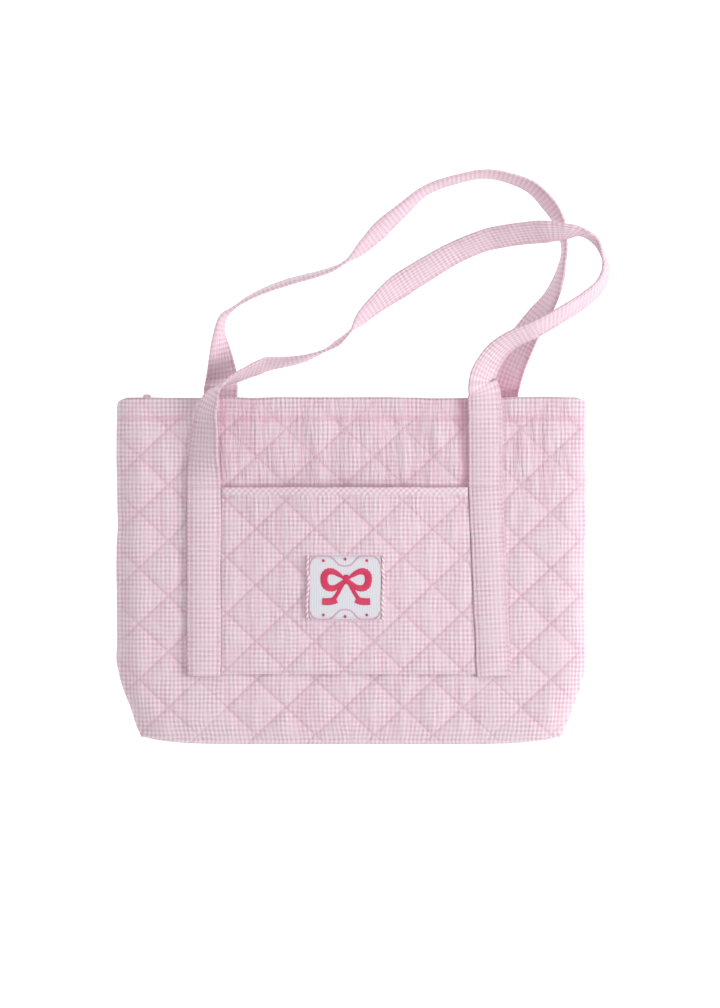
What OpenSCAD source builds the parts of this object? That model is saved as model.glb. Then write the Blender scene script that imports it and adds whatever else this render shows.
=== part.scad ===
// Quilted cloth diaper bag with a front pocket, a mouth zip and two long handles.
// It lies on its back. +X runs across the bag, +Y from the bottom seam to the mouth, +Z up
// through the front panel. The origin is under the middle of the whole object, on the floor.

/* [Bag] */
// Width between the side seams
bag_w = 457; // [400:1:560]
// Height from the bottom seam to the mouth
bag_h = 338; // [290:1:420]
// Rise of the front panel above the side seams
front_depth = 20; // [17:0.5:30]
// Rise of the front panel above the side seams at the mouth
mouth_depth = 13.5; // [13:0.5:20]
// Drop of the back panel below the side seams
back_depth = 10.5; // [10:0.5:16]
// Distance over which a panel rolls in to its sewn edge
edge_roll = 30; // [20:1:45]
// Height over which the sides run in to the bottom corners
corner_h = 85; // [50:1:120]
// Distance that the sides run in at the bottom corners
corner_in = 28; // [10:1:45]
// Rise of the bottom seam at the corners
corner_rise = 7; // [0:0.5:12]

/* [Layers] */
// Thickness of the gingham cloth
cloth_t = 0.8; // [0.5:0.1:1.2]
// Thickness of the batting between cloth and lining
batting_t = 2.6; // [1.5:0.1:3.2]
// Thickness of the lining cloth
lining_t = 0.8; // [0.5:0.1:1.2]
// Depth of the facing inside the mouth
facing_h = 22; // [18:1:40]

/* [Straps] */
// Width of every strap
strap_w = 33; // [26:0.5:40]
// Thickness of every strap
strap_t = 2.4; // [1.8:0.1:3.2]
// Centre of the left front strap
front_left_x = -143; // [-160:1:-120]
// Centre of the right front strap where it leaves the pocket
front_right_x = 130; // [110:1:160]
// How much further out the right front strap starts at its foot
front_right_lean = 8; // [0:0.5:12]
// Centre of the left back strap
back_left_x = -128; // [-160:1:-110]
// Centre of the right back strap
back_right_x = 145; // [110:1:160]

/* [Pocket] */
// Height of the pocket's bottom seam
pocket_bottom = 69; // [60:1:90]
// Height of the pocket's bound top edge, where the straps leave the bag
pocket_top = 250; // [200:1:265]
// Thickness of the pocket's batting
pocket_batting_t = 2; // [1:0.1:3]
// How far the pocket gapes at the middle of its top edge
pocket_gape = 8; // [7:0.5:14]
// Depth of the binding along the pocket's top edge
binding_h = 7.5; // [5:0.5:12]

/* [Patch] */
// Width of the pleated patch
patch_w = 70; // [50:1:100]
// Height of the pleated patch
patch_h = 63; // [45:1:90]
// Middle of the patch across the bag
patch_x = -6; // [-30:1:30]
// Middle of the patch below the pocket's top edge
patch_drop = 97; // [85:1:110]
// Diameter of the cords down the patch's sides
piping_d = 3.2; // [2:0.1:5]

/* [Zip] */
// Depth of the zip below the mouth
zip_recess = 9; // [8:0.5:14]
// Thickness of the zip's teeth
teeth_t = 2.8; // [2:0.1:3]
// Width of one row of teeth
teeth_w = 2.4; // [1.8:0.1:2.8]
// Length of the slider
slider_l = 10; // [8:0.5:12]
// Length of the pull from its pin
pull_l = 20; // [14:1:24]

/* [Hidden] */
front = 1;
back = -1;

// Room between two plies of one panel
gap = 0.05;
// Room between bodies that move past each other
clear = 0.4;
// Half of the slit where a handle leaves its sewn strap
root_gap = 0.15;
seam_z = strap_t + 0.3 + back_depth;
panel_top = bag_h - cloth_t - gap;
batting_from = cloth_t + gap;
lining_from = batting_from + batting_t + gap;
panel_t = lining_from + lining_t;

// Smooth step from 0 to 1
function ease(t) = let (c = min(max(t, 0), 1)) c * c * (3 - 2 * c);

// Quarter round from 0 at the edge to 1 at the distance r
function round_in(d, r) = let (k = 1 - min(max(d / r, 0), 1)) sqrt(1 - k * k);

function unit(v) = v / norm(v);

// --- Outline and heights of the two panels

function half_w(y) = bag_w / 2 - corner_in * pow(max(1 - y / corner_h, 0), 1.5);
function bottom_y(x) = corner_rise * pow(min(abs(x) / half_w(0), 1), 8);
function fullness(x, y) = round_in(half_w(y) - abs(x), edge_roll) * round_in(y - bottom_y(x), edge_roll);
function depth_at(side, y) = side == back ? back_depth
    : front_depth - (front_depth - mouth_depth) * ease((y / bag_h - 0.45) / 0.55);

// Distance of a panel's outer face from the seam plane
function skin(side, x, y) = cloth_t + fullness(x, y) * (depth_at(side, y) - cloth_t);
function front_z(x, y) = seam_z + skin(front, x, min(y, panel_top));

// Distance from the seam plane of the face at the depth t inside a panel; batting and lining
// are squeezed where the panel thins towards its seams
function ply_face(side, x, y, t) =
    let (room = skin(side, x, y) - cloth_t)
    room + cloth_t - min(t, cloth_t) - max(t - cloth_t, 0) * min((room - gap) / (panel_t - cloth_t), 1);

// --- Solids from grids and rings

function grid_faces(nu, nv) = [
    for (j = [0 : nv - 2], i = [0 : nu - 2])
        let (a = j * nu + i, b = a + nu, top = nu * nv)
            each [[a, b, b + 1], [a, b + 1, a + 1],
                  [a + top, b + 1 + top, b + top], [a + top, a + 1 + top, b + 1 + top]]
];
function grid_rim(nu, nv) = [
    for (i = [0 : nu - 2]) i,
    for (j = [0 : nv - 2]) j * nu + nu - 1,
    for (i = [nu - 1 : -1 : 1]) (nv - 1) * nu + i,
    for (j = [nv - 1 : -1 : 1]) j * nu
];

// Closed solid between two height functions, over the places that xy(u, v) gives
module slab(us, vs, xy, low, high) {
    places = [for (v = vs, u = us) xy(u, v)];
    count = len(places);
    rim = grid_rim(len(us), len(vs));
    walls = [for (k = [0 : len(rim) - 1])
        let (p = rim[k], q = rim[(k + 1) % len(rim)])
            each [[p, q, q + count], [p, q + count, p + count]]];
    polyhedron(
        points = concat([for (p = places) [p.x, p.y, high(p.x, p.y)]],
                        [for (p = places) [p.x, p.y, low(p.x, p.y)]]),
        faces = concat(grid_faces(len(us), len(vs)), walls), convexity = 8);
}

// Solid through rings of points that run anticlockwise seen from the far end
module loft(rings) {
    m = len(rings[0]);
    last = (len(rings) - 1) * m;
    polyhedron(
        points = [for (r = rings) each r],
        faces = concat(
            [[for (k = [0 : m - 1]) k]],
            [for (i = [0 : len(rings) - 2], k = [0 : m - 1])
                let (a = i * m + k, b = i * m + (k + 1) % m)
                    each [[a, a + m, b + m], [a, b + m, b]]],
            [[for (k = [m - 1 : -1 : 0]) last + k]]), convexity = 8);
}

function even(n, from = 0, to = 1) = [for (k = [0 : n]) from + (to - from) * k / n];

// The same list without its first value, or without its first and last
function past_first(list) = [for (k = [1 : len(list) - 1]) list[k]];
function inside_ends(list) = [for (k = [1 : len(list) - 2]) list[k]];

// --- Panels

panel_us = [for (k = [-9 : 9]) sin(10 * k)];
panel_vs = [for (k = [0 : 12]) 1 - cos(7.5 * k)];

function panel_xy(u, v) =
    let (foot = bottom_y(u * half_w(0)),
         y = foot + v * (panel_top - foot))
    [u * half_w(y), y];

// Layer of a panel from one depth to another; an inner ply stops one grid step short of the seams
module panel_layer(side, from, to) {
    inner_ply = from > 0;
    outside = function(x, y) seam_z + side * ply_face(side, x, y, from);
    inside = function(x, y) seam_z + side * ply_face(side, x, y, to);
    slab(inner_ply ? inside_ends(panel_us) : panel_us,
        inner_ply ? past_first(panel_vs) : panel_vs,
        function(u, v) panel_xy(u, v),
        function(x, y) min(outside(x, y), inside(x, y)),
        function(x, y) max(outside(x, y), inside(x, y)));
}

// Facing inside the mouth, turned over the raw top edges of the panel's plies
module facing(side) {
    foot = bag_h - facing_h;
    rings = [for (u = inside_ends(panel_us))
        let (x = u * half_w(bag_h),
             outer = skin(side, x, panel_top),
             inner = function(y) ply_face(side, x, y, panel_t) - gap,
             section = [[foot, inner(foot)], [panel_top + gap, inner(panel_top)],
                        [panel_top + gap, outer], [bag_h, outer],
                        [bag_h, inner(panel_top) - cloth_t], [foot, inner(foot) - cloth_t]],
             ring = [for (p = section) [x, p[0], seam_z + side * p[1]]])
        side == front ? [for (k = [len(ring) - 1 : -1 : 0]) ring[k]] : ring];
    loft(rings);
}

module front_cloth() {
    color("#e3cbd6") panel_layer(front, 0, cloth_t);
}

module front_batting() {
    color("#f6f3ee") panel_layer(front, batting_from, batting_from + batting_t);
}

module front_lining() {
    color("#f0b9cc") panel_layer(front, lining_from, panel_t);
}

module front_facing() {
    color("#e3cbd6") facing(front);
}

module back_cloth() {
    color("#e3cbd6") panel_layer(back, 0, cloth_t);
}

module back_batting() {
    color("#f6f3ee") panel_layer(back, batting_from, batting_from + batting_t);
}

module back_lining() {
    color("#f0b9cc") panel_layer(back, lining_from, panel_t);
}

module back_facing() {
    color("#e3cbd6") facing(back);
}

// --- Pocket between the two front straps

// Distance over which the pocket's padding rises from its sewn edges
pocket_roll = 14;
// Width of the pocket cloth's seam allowance under each strap
underlap = 6;
// Height at which a front strap lies on the panel, over the seam allowance
strap_rest = cloth_t + 5 * gap;

function right_strap_x(y) =
    front_right_x + front_right_lean * (pocket_top - y) / (pocket_top - pocket_bottom);
function pocket_low_x(y) = front_left_x + strap_w / 2;
function pocket_high_x(y) = right_strap_x(y) - strap_w / 2;
function pocket_edge(x, y) = min(x - pocket_low_x(y), pocket_high_x(y) - x, y - pocket_bottom);
// Gap behind the pocket, with room for the binding at its top edge
function pocket_open(x, y) =
    let (side = max(min(x - pocket_low_x(y), pocket_high_x(y) - x), 0),
         across = ease(side / (pocket_high_x(y) - pocket_low_x(y)) * 2.4),
         up = max((y - pocket_bottom) / (pocket_top - pocket_bottom), 0),
         bound = ease((y - pocket_top + binding_h + 12) / 12) * ease(side / 2.5))
    pocket_gape * across * up + (cloth_t + 3 * gap) * bound;
function pocket_fill(x, y) =
    round_in(pocket_edge(x, y), pocket_roll) * (lining_t + pocket_batting_t + 2 * gap);

// Undersides of the pocket's lining and of its cloth, and its outer face
function pocket_lining_z(x, y) = front_z(x, y) + 4 * gap + pocket_open(x, y);
function pocket_cloth_z(x, y) = pocket_lining_z(x, y) + pocket_fill(x, y);
function pocket_face_z(x, y) = pocket_cloth_z(x, y) + cloth_t;

pocket_us = [for (k = [-7 : 7]) sin(90 * k / 7)];
pocket_vs = concat([for (k = [0 : 7]) 1 - cos(90 * k / 8)],
    [1 - binding_h / (pocket_top - pocket_bottom), 1]);

// Places on the pocket; u beyond -1 or 1 runs out under a strap
function pocket_xy(u, v) =
    let (y = pocket_bottom + v * (pocket_top - pocket_bottom),
         low = pocket_low_x(y),
         high = pocket_high_x(y),
         seen = min(max(u, -1), 1))
    [(low + high) / 2 + seen * (high - low) / 2 + (u - seen) * underlap, y];

module pocket_lining() {
    color("#f0b9cc") slab(inside_ends(pocket_us), past_first(pocket_vs),
        function(u, v) pocket_xy(u, v),
        function(x, y) pocket_lining_z(x, y),
        function(x, y) pocket_lining_z(x, y) + lining_t);
}

module pocket_batting() {
    color("#f6f3ee") slab(inside_ends(pocket_us), past_first(pocket_vs),
        function(u, v) pocket_xy(u, v),
        function(x, y) pocket_lining_z(x, y) + lining_t + gap,
        function(x, y) pocket_cloth_z(x, y) - gap);
}

module pocket_cloth() {
    color("#e3cbd6") slab(concat([-2], pocket_us, [2]), pocket_vs,
        function(u, v) pocket_xy(u, v),
        function(x, y) pocket_cloth_z(x, y),
        function(x, y) pocket_face_z(x, y));
}

// Strip folded over the pocket's top edge: a run over the cloth, one under the lining, and a crest
module pocket_binding() {
    crest = pocket_top + gap;
    over = function(x, y) pocket_face_z(x, y) + gap;
    under = function(x, y) pocket_lining_z(x, y) - gap;
    run = function(from) function(u, v) [pocket_xy(u, 1).x, from + v * (crest + cloth_t - from)];
    us = inside_ends(pocket_us);
    color("#d9b3c2") {
        slab(us, [0, 1], run(pocket_top - binding_h), over, function(x, y) over(x, y) + cloth_t);
        slab(us, [0, 1], run(pocket_top - binding_h), function(x, y) under(x, y) - cloth_t, under);
        slab(us, [0, 1], run(crest), function(x, y) under(x, y) - cloth_t / 2,
            function(x, y) over(x, y) + cloth_t / 2);
    }
}

// --- Pleated patch with its cords and embroidery

patch_y = pocket_top - patch_drop;
function patch_face_z(x, y) = pocket_face_z(x, y) + gap + cloth_t;

// Strip of the height h that stands on the patch along a path in x and y
module laid_strip(path, w, h) {
    loft([for (k = [0 : len(path) - 1])
        let (t = unit(path[min(k + 1, len(path) - 1)] - path[max(k - 1, 0)]),
             left = path[k] + [-t.y, t.x] * w / 2,
             right = path[k] - [-t.y, t.x] * w / 2,
             z = patch_face_z(path[k].x, path[k].y) + gap)
        [[right.x, right.y, z], [left.x, left.y, z],
         [left.x, left.y, z + h], [right.x, right.y, z + h]]]);
}

// Leaf of embroidery from one point to another, widest at the share full of its length
module laid_leaf(from, to, w, full, h) {
    t = unit(to - from);
    shape = function(v) sin(180 * pow(v, ln(0.5) / ln(full)));
    slab([-1, 0, 1], even(6, 0.06, 0.97),
        function(u, v) from + (to - from) * v + [t.y, -t.x] * u * w / 2 * shape(v),
        function(x, y) patch_face_z(x, y) + gap,
        function(x, y) patch_face_z(x, y) + gap + h);
}

module patch_cloth() {
    color("#e2e2ec") slab(even(6, -1, 1), even(6, -1, 1),
        function(u, v) [patch_x + u * patch_w / 2, patch_y + v * patch_h / 2],
        function(x, y) pocket_face_z(x, y) + gap,
        function(x, y) patch_face_z(x, y));
}

module patch_piping() {
    color("#d98aa6") for (side = [-1, 1]) {
        x = patch_x + side * (patch_w / 2 + gap + piping_d / 2);
        loft([for (y = even(8, patch_y - patch_h / 2, patch_y + patch_h / 2))
            [for (k = [0 : 7])
                [x + piping_d / 2 * sin(45 * k), y,
                 pocket_face_z(x, y) + 0.2 + piping_d / 2 * (1 + cos(45 * k))]]]);
    }
}

// Spread of the bow's loops and tails, and the height of its thread
bow_span = 24;
bow_drop = 24;
thread_h = 1.2;

module bow_embroidery() {
    knot = [patch_x + 1, patch_y + patch_h * 0.12];
    color("#dc3f68") {
        for (side = [-1, 1]) {
            laid_leaf(knot + [side * 3.2, 0], knot + [side * bow_span, bow_span * 0.12], 17, 0.62, thread_h);
            laid_leaf(knot + [side * 1.8, -4], knot + [side * bow_span * 0.75, -bow_drop], 5, 0.7, thread_h);
        }
        laid_leaf(knot + [0, -3.6], knot + [0, 4], 5.2, 0.5, thread_h * 1.5);
    }
}

// Two waved lines across the patch, and three knots of thread beyond each
module border_embroidery() {
    reach = patch_w / 2 - 3;
    for (row = [-1, 1]) {
        mid_y = patch_y + row * patch_h * 0.385;
        color("#e1a5be") laid_strip([for (t = even(12, -1, 1))
            [patch_x + reach * t, mid_y - 3.5 * row * cos(180 * t) * 0.5]], 1.4, 0.8);
        for (k = [-1 : 1]) {
            dot = [patch_x + k * patch_w * 0.3, mid_y + row * 4.6];
            color("#dc3f68") laid_leaf(dot - [0, 1.6], dot + [0, 1.6], 3, 0.5, thread_h);
        }
    }
}

// --- Sewn runs of the straps

// Length of strap that is sewn down, shared by front and back
strap_foot = pocket_bottom - 2;

module front_strap(middle) {
    color("#e4c8d4") slab(even(4, -1, 1), even(12),
        function(u, v)
            let (y = strap_foot + v * (pocket_top - root_gap - strap_foot))
            [middle(y) + u * strap_w / 2, y],
        function(x, y) front_z(x, y) + strap_rest,
        function(x, y) front_z(x, y) + strap_rest + strap_t);
}

module front_strap_left() {
    front_strap(function(y) front_left_x);
}

module front_strap_right() {
    front_strap(function(y) right_strap_x(y));
}

module back_strap(x) {
    color("#e4c8d4") translate([x - strap_w / 2, strap_foot, 0])
        cube([strap_w, pocket_top - root_gap - strap_foot, strap_t]);
}

module back_strap_left() {
    back_strap(back_left_x);
}

module back_strap_right() {
    back_strap(back_right_x);
}

// --- Free loops of the handles

// A station is [x, y, tilt, lift]: tilt turns the strap's width up from flat, and lift is the
// height of its low edge above the floor. A leg station lies between the sewn strap and the
// mouth, f of the way up; a loop station lies past the mouth.
function leg_y(f) = pocket_top + f * (bag_h - pocket_top);
function front_leg(x, f, tilt) =
    [x, leg_y(f), tilt, front_z(x, leg_y(f)) + strap_rest + (f > 0 ? 0.1 : 0)];
function back_leg(x, f) = [x, leg_y(f), 0, 0];
function loop(x, past, tilt, lift) = [x, bag_h + past, tilt, lift];

mouth_z = front_z(0, bag_h);
// Lift that carries one strap over the edge of the other
over_edge = strap_w + 2.5;
over_slope = strap_w * 0.84;

front_stations = [
    front_leg(front_left_x, 0, 0),
    front_leg(front_left_x, 0.31, -28),
    front_leg(front_left_x + 1, 0.58, -38),
    front_leg(front_left_x + 2.5, 0.81, -49),
    front_leg(front_left_x + 7, 0.97, -60),
    loop(-130, 8, -80, mouth_z), loop(-120, 15, -95, mouth_z - 5), loop(-103.5, 23, -104, mouth_z - 14),
    loop(-84, 31, -110, 5), loop(-65, 34, -103, 0), loop(-45, 38, -96, 0), loop(-26, 45.5, -88, 0),
    loop(-13, 53, -80, 0), loop(-0.5, 65, -88, 0), loop(10, 77.5, -108, 0), loop(28, 94, -121, 0),
    loop(47, 108.5, -134, 0), loop(71.5, 124, -132, 0), loop(100.5, 140.5, -127, 3),
    loop(130, 152, -124, 11), loop(159, 157, -124, 23), loop(188, 159, -123, over_edge),
    loop(207.5, 158.5, -112, over_edge + 1), loop(224, 156, -98, over_edge - 6.5),
    loop(236, 148, -86, 14),
    loop(245, 134.5, -79, 3), loop(247, 121, -76, 0), loop(240.5, 107, -72, 3),
    loop(226, 94, -70, 11), loop(204.5, 80, -68, 21), loop(181, 66.5, -64, over_slope),
    loop(157, 56, -62, 24), loop(141.5, 44, -52, 22), loop(131, 28.5, -43, 23),
    loop(126.5, 14, -40, mouth_z),
    front_leg(front_right_x - 1, 1, -10),
    front_leg(front_right_x, 0.53, 0),
    front_leg(front_right_x, 0, 0)
];

back_stations = [
    back_leg(back_left_x, 0), back_leg(back_left_x, 0.5), loop(-128, 1, 0, 0),
    loop(-127.3, 12, 15, 0), loop(-127, 24.5, 32, 0), loop(-128, 46, 57, 0),
    loop(-128.5, 62.5, 76, 0), loop(-125, 77, 82, 0), loop(-117, 85, 90, 0),
    loop(-103.5, 94.5, 97, 0), loop(-84, 104, 100, 0), loop(-60, 112.5, 102, 0),
    loop(-35.5, 119, 100, 0), loop(-16, 126, 97, 0), loop(-2.5, 134, 90, 0),
    loop(10, 145, 74, 0), loop(28, 163, 63, 0), loop(47, 180, 70, 0),
    loop(71.5, 200.5, 80, 0), loop(100.5, 211.5, 81, 0), loop(130, 217, 82, 0),
    loop(154, 213, 79, 0), loop(175.5, 204, 75, 0), loop(193, 186.5, 71, 0),
    loop(203, 168.5, 77, 0), loop(207, 148, 86, 0), loop(205.5, 131.5, 84, 0),
    loop(201, 114, 75, 0), loop(193, 95.5, 66, 0), loop(181, 78, 52, 0),
    loop(167, 56, 38, 0), loop(155, 31.5, 22, 0), loop(149, 15, 8, 0),
    loop(146, 1, 0, 0), back_leg(back_right_x, 0.5), back_leg(back_right_x, 0)
];

// Point of a smooth curve through b and c, at the share t between them
function curve(a, b, c, d, t) =
    0.5 * (2 * b + (c - a) * t + (2 * a - 5 * b + 4 * c - d) * t * t
           + (3 * b - a - 3 * c + d) * t * t * t);

// Stations with one more between each two: the route curves, tilt and lift run straight
function finer(s) = let (last = len(s) - 1) [
    for (i = [0 : last - 1], t = [0, 0.5])
        let (a = s[max(i - 1, 0)], b = s[i], c = s[i + 1], d = s[min(i + 2, last)],
             p = curve([a.x, a.y], [b.x, b.y], [c.x, c.y], [d.x, d.y], t))
        [p.x, p.y, b[2] + (c[2] - b[2]) * t, b[3] + (c[3] - b[3]) * t],
    s[last]
];
function station_point(s) =
    [s.x, s.y, s[3] + strap_w / 2 * abs(sin(s[2])) + strap_t / 2 * abs(cos(s[2]))];

// Rings of a handle; its two ends stand square to the sewn straps, just past them
function handle_rings(stations) =
    let (s = finer(stations), last = len(s) - 1, points = [for (p = s) station_point(p)])
    [for (i = [0 : last])
        let (root = i == 0 || i == last,
             along = i == 0 ? [0, 1, 0] : i == last ? [0, -1, 0]
                 : unit(points[i + 1] - points[i - 1]),
             left = unit([-along.y, along.x, 0]),
             lean = cos(s[i][2]) * left + sin(s[i][2]) * [0, 0, 1],
             wide = unit(lean - (lean * along) * along),
             thick = cross(along, wide),
             middle = points[i] + (root ? [0, root_gap, 0] : [0, 0, 0]))
        [for (c = [[-1, -1], [1, -1], [1, 1], [-1, 1]])
            middle + c[0] * strap_w / 2 * wide + c[1] * strap_t / 2 * thick]];

front_rings = handle_rings(front_stations);
back_rings = handle_rings(back_stations);

module front_handle() {
    color("#ead0db") loft(front_rings);
}

module back_handle() {
    color("#dcc0cb") loft(back_rings);
}

// --- Mouth zip

zip_y = bag_h - zip_recess;
zip_half = bag_w / 2 - edge_roll - 1.5;
// Inner faces of the two facings at the zip
facing_high = seam_z + skin(front, 0, panel_top) - panel_t - gap - cloth_t;
facing_low = seam_z - skin(back, 0, panel_top) + panel_t + gap + cloth_t;
zip_z = (facing_high + facing_low) / 2;
zip_tape_t = 0.8;
// Distance of each half's hinge line from its facing
hinge_in = teeth_t / 2 + clear;
hinge_high = facing_high - hinge_in;
hinge_low = facing_low + hinge_in;
// Half of the slot between the rows of teeth, for the slider's neck
slot = 0.6;
neck = slot - 0.3;
// Room at the ends of the moving halves
end_room = 0.5;
tab_l = 12;
slider_x = zip_half - tab_l / 2 - slider_l / 2 - end_room;
// Where the slider stops at the other end, with the pull clear of the tab
slider_stop = -zip_half + tab_l / 2 + end_room + pull_l;
half_from = slider_stop + slider_l / 2 + end_room;
half_to = slider_x - slider_l / 2 - end_room;
plate_w = 7.2;
plate_t = 0.9;
pin_r = 0.8;
pin_y = zip_y + teeth_t / 2 + clear + plate_t + 2.4;

// Part of the zip between two places along it, over a span of heights
module zip_bar(from, to, low, high, thick) {
    translate([from, zip_y - thick / 2, low]) cube([to - from, thick, high - low]);
}

module zip_tape_front() {
    color("#f2c6d4") zip_bar(half_from, half_to, zip_z + slot + teeth_w,
        hinge_high + zip_tape_t / 2, zip_tape_t);
}

module zip_tape_back() {
    color("#f2c6d4") zip_bar(half_from, half_to, hinge_low - zip_tape_t / 2,
        zip_z - slot - teeth_w, zip_tape_t);
}

module zip_teeth_front() {
    color("#f7f7f7") zip_bar(half_from, half_to, zip_z + slot, zip_z + slot + teeth_w, teeth_t);
}

module zip_teeth_back() {
    color("#f7f7f7") zip_bar(half_from, half_to, zip_z - slot - teeth_w, zip_z - slot, teeth_t);
}

// Ends of the zip that stay shut, sewn between the facings
module zip_tails() {
    for (span = [[half_to + end_room, zip_half], [-zip_half, half_from - end_room]])
        for (side = [-1, 1]) {
            row = zip_z + side * (slot + teeth_w / 2);
            edge = (side == 1 ? facing_high : facing_low) - side * 2 * gap;
            color("#f2c6d4") zip_bar(span[0], span[1], min(zip_z + side * slot, edge),
                max(zip_z + side * slot, edge), zip_tape_t);
            color("#f7f7f7") zip_bar(span[0], span[1], row - teeth_w / 2, row + teeth_w / 2, teeth_t);
        }
}

// Cloth tab folded over one end of the zip
module zip_tab(from, rise) {
    tab_z = 2 * (slot + teeth_w) + 1.2;
    color("#e9b9c9") difference() {
        translate([from, zip_y - 6, zip_z - tab_z / 2]) cube([tab_l, zip_recess + 6 + rise, tab_z]);
        zip_slot(from);
    }
}

// Space that the zip's tail takes inside a tab
module zip_slot(from) {
    tail_from = from < 0 ? from + tab_l / 2 - gap : from - 1;
    translate([tail_from, zip_y - teeth_t / 2 - gap, zip_z - 20])
        cube([tab_l / 2 + 1 + gap, teeth_t + 2 * gap, 40]);
}

module zip_tab_left() {
    zip_tab(-zip_half - tab_l / 2, 3);
}

module zip_tab_right() {
    zip_tab(zip_half - tab_l / 2, -1);
}

// Two plates joined by a thin neck, with a pin across two lugs for the pull
module zip_slider() {
    plate_y = zip_y + teeth_t / 2 + clear;
    lug_t = 1;
    lug_z = 1.9;
    color("#e6e4df") {
        for (face = [plate_y, 2 * zip_y - plate_y - plate_t])
            translate([slider_x - slider_l / 2, face, zip_z - plate_w / 2])
                cube([slider_l, plate_t, plate_w]);
        translate([slider_x - 2, zip_y - teeth_t / 2 - clear - gap, zip_z - neck])
            cube([4, teeth_t + 2 * clear + 2 * gap, 2 * neck]);
        for (side = [-1, 1])
            translate([slider_x, 0, zip_z + side * (lug_z + lug_t / 2)]) {
                translate([-1.6, plate_y + plate_t / 2, -lug_t / 2])
                    cube([3.2, pin_y - plate_y - plate_t / 2, lug_t]);
                translate([0, pin_y, 0]) cylinder(r = 1.6, h = lug_t, center = true, $fn = 32);
            }
        translate([slider_x, pin_y, zip_z])
            cylinder(r = pin_r, h = 2 * (lug_z + lug_t / 2), center = true, $fn = 32);
    }
}

module zip_pull() {
    pull_t = 1.2;
    eye_r = 1.9;
    eye_w = 3.2;
    color("#efeeea") difference() {
        union() {
            translate([slider_x, pin_y, zip_z]) cylinder(r = eye_r, h = eye_w, center = true, $fn = 32);
            translate([slider_x - pull_l + 2.5, pin_y - pull_t / 2, zip_z - eye_w / 2])
                cube([pull_l - 2.5, pull_t, eye_w]);
            translate([slider_x - pull_l + 2.5, pin_y, zip_z])
                rotate([90, 0, 0]) cylinder(r = 2.5, h = pull_t, center = true, $fn = 32);
        }
        translate([slider_x, pin_y, zip_z])
            cylinder(r = pin_r + 0.06, h = eye_w + 1, center = true, $fn = 32);
    }
}

// --- Place in the row's frame

all_rings = [for (r = concat(front_rings, back_rings)) each r];
low_x = min(-bag_w / 2, min([for (p = all_rings) p.x]));
high_x = max(bag_w / 2, max([for (p = all_rings) p.x]));
high_y = max([for (p = all_rings) p.y]);
home = [-(low_x + high_x) / 2, -high_y / 2, 0];

translate(home) front_cloth();
translate(home) front_batting();
translate(home) front_lining();
translate(home) front_facing();
translate(home) back_cloth();
translate(home) back_batting();
translate(home) back_lining();
translate(home) back_facing();
translate(home) pocket_lining();
translate(home) pocket_batting();
translate(home) pocket_cloth();
translate(home) pocket_binding();
translate(home) patch_cloth();
translate(home) patch_piping();
translate(home) bow_embroidery();
translate(home) border_embroidery();
translate(home) front_strap_left();
translate(home) front_strap_right();
translate(home) back_strap_left();
translate(home) back_strap_right();
translate(home) front_handle();
translate(home) back_handle();
translate(home) zip_tape_front();
translate(home) zip_tape_back();
translate(home) zip_teeth_front();
translate(home) zip_teeth_back();
translate(home) zip_tails();
translate(home) zip_tab_left();
translate(home) zip_tab_right();
translate(home) zip_slider();
translate(home) zip_pull();
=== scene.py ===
"""Looks of the quilted diaper bag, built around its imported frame.

The bag lies on its back, mouth towards +Y. Every length is in metres. Shapes follow the same
few rules as the frame: a rolled panel outline, a quilting lattice, and straps swept along a
route of stations.
"""

from __future__ import annotations

import logging
import math
from dataclasses import dataclass
from enum import Enum
from typing import Any, Callable, Iterable, Sequence

import bpy
import numpy as np
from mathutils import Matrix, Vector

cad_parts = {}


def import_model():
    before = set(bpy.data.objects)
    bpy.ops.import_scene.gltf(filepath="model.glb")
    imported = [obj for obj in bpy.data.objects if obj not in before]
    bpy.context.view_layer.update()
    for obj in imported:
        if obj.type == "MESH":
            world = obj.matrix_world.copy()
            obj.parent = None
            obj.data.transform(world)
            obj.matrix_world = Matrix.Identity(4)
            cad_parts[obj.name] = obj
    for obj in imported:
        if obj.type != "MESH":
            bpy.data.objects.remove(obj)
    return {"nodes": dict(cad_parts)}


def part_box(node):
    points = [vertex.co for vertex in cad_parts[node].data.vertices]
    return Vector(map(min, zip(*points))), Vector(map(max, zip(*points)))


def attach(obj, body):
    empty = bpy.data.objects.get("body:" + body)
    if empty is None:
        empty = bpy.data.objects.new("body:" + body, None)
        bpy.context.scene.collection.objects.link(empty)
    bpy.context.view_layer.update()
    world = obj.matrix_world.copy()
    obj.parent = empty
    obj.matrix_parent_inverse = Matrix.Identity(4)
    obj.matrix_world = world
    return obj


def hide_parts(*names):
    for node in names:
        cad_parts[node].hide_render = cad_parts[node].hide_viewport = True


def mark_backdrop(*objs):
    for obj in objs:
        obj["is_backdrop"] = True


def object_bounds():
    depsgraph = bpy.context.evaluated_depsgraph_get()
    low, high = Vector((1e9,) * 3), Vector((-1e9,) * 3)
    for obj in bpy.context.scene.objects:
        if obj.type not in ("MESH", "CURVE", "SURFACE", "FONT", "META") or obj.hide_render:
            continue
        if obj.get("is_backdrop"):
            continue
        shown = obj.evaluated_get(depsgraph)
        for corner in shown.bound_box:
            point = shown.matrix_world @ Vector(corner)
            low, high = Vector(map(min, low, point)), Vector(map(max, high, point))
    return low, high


MM = 0.001
LOG = logging.getLogger("diaper_bag")
Array = np.ndarray
Colour = tuple[float, float, float]


# --------------------------------------------------------------------------- shader graphs


def _operator(operation: str, swapped: bool = False) -> Callable[["Number", Any], "Number"]:
    """Return a method of Number that joins it to another value.

    Args:
        operation: the Math node's operation.
        swapped: whether the other value comes first.

    Returns:
        The method.
    """

    def method(self: "Number", other: Any) -> "Number":
        """Return the operation's result."""
        values = (other, self) if swapped else (self, other)
        return self._math(operation, *values)

    return method


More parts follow.
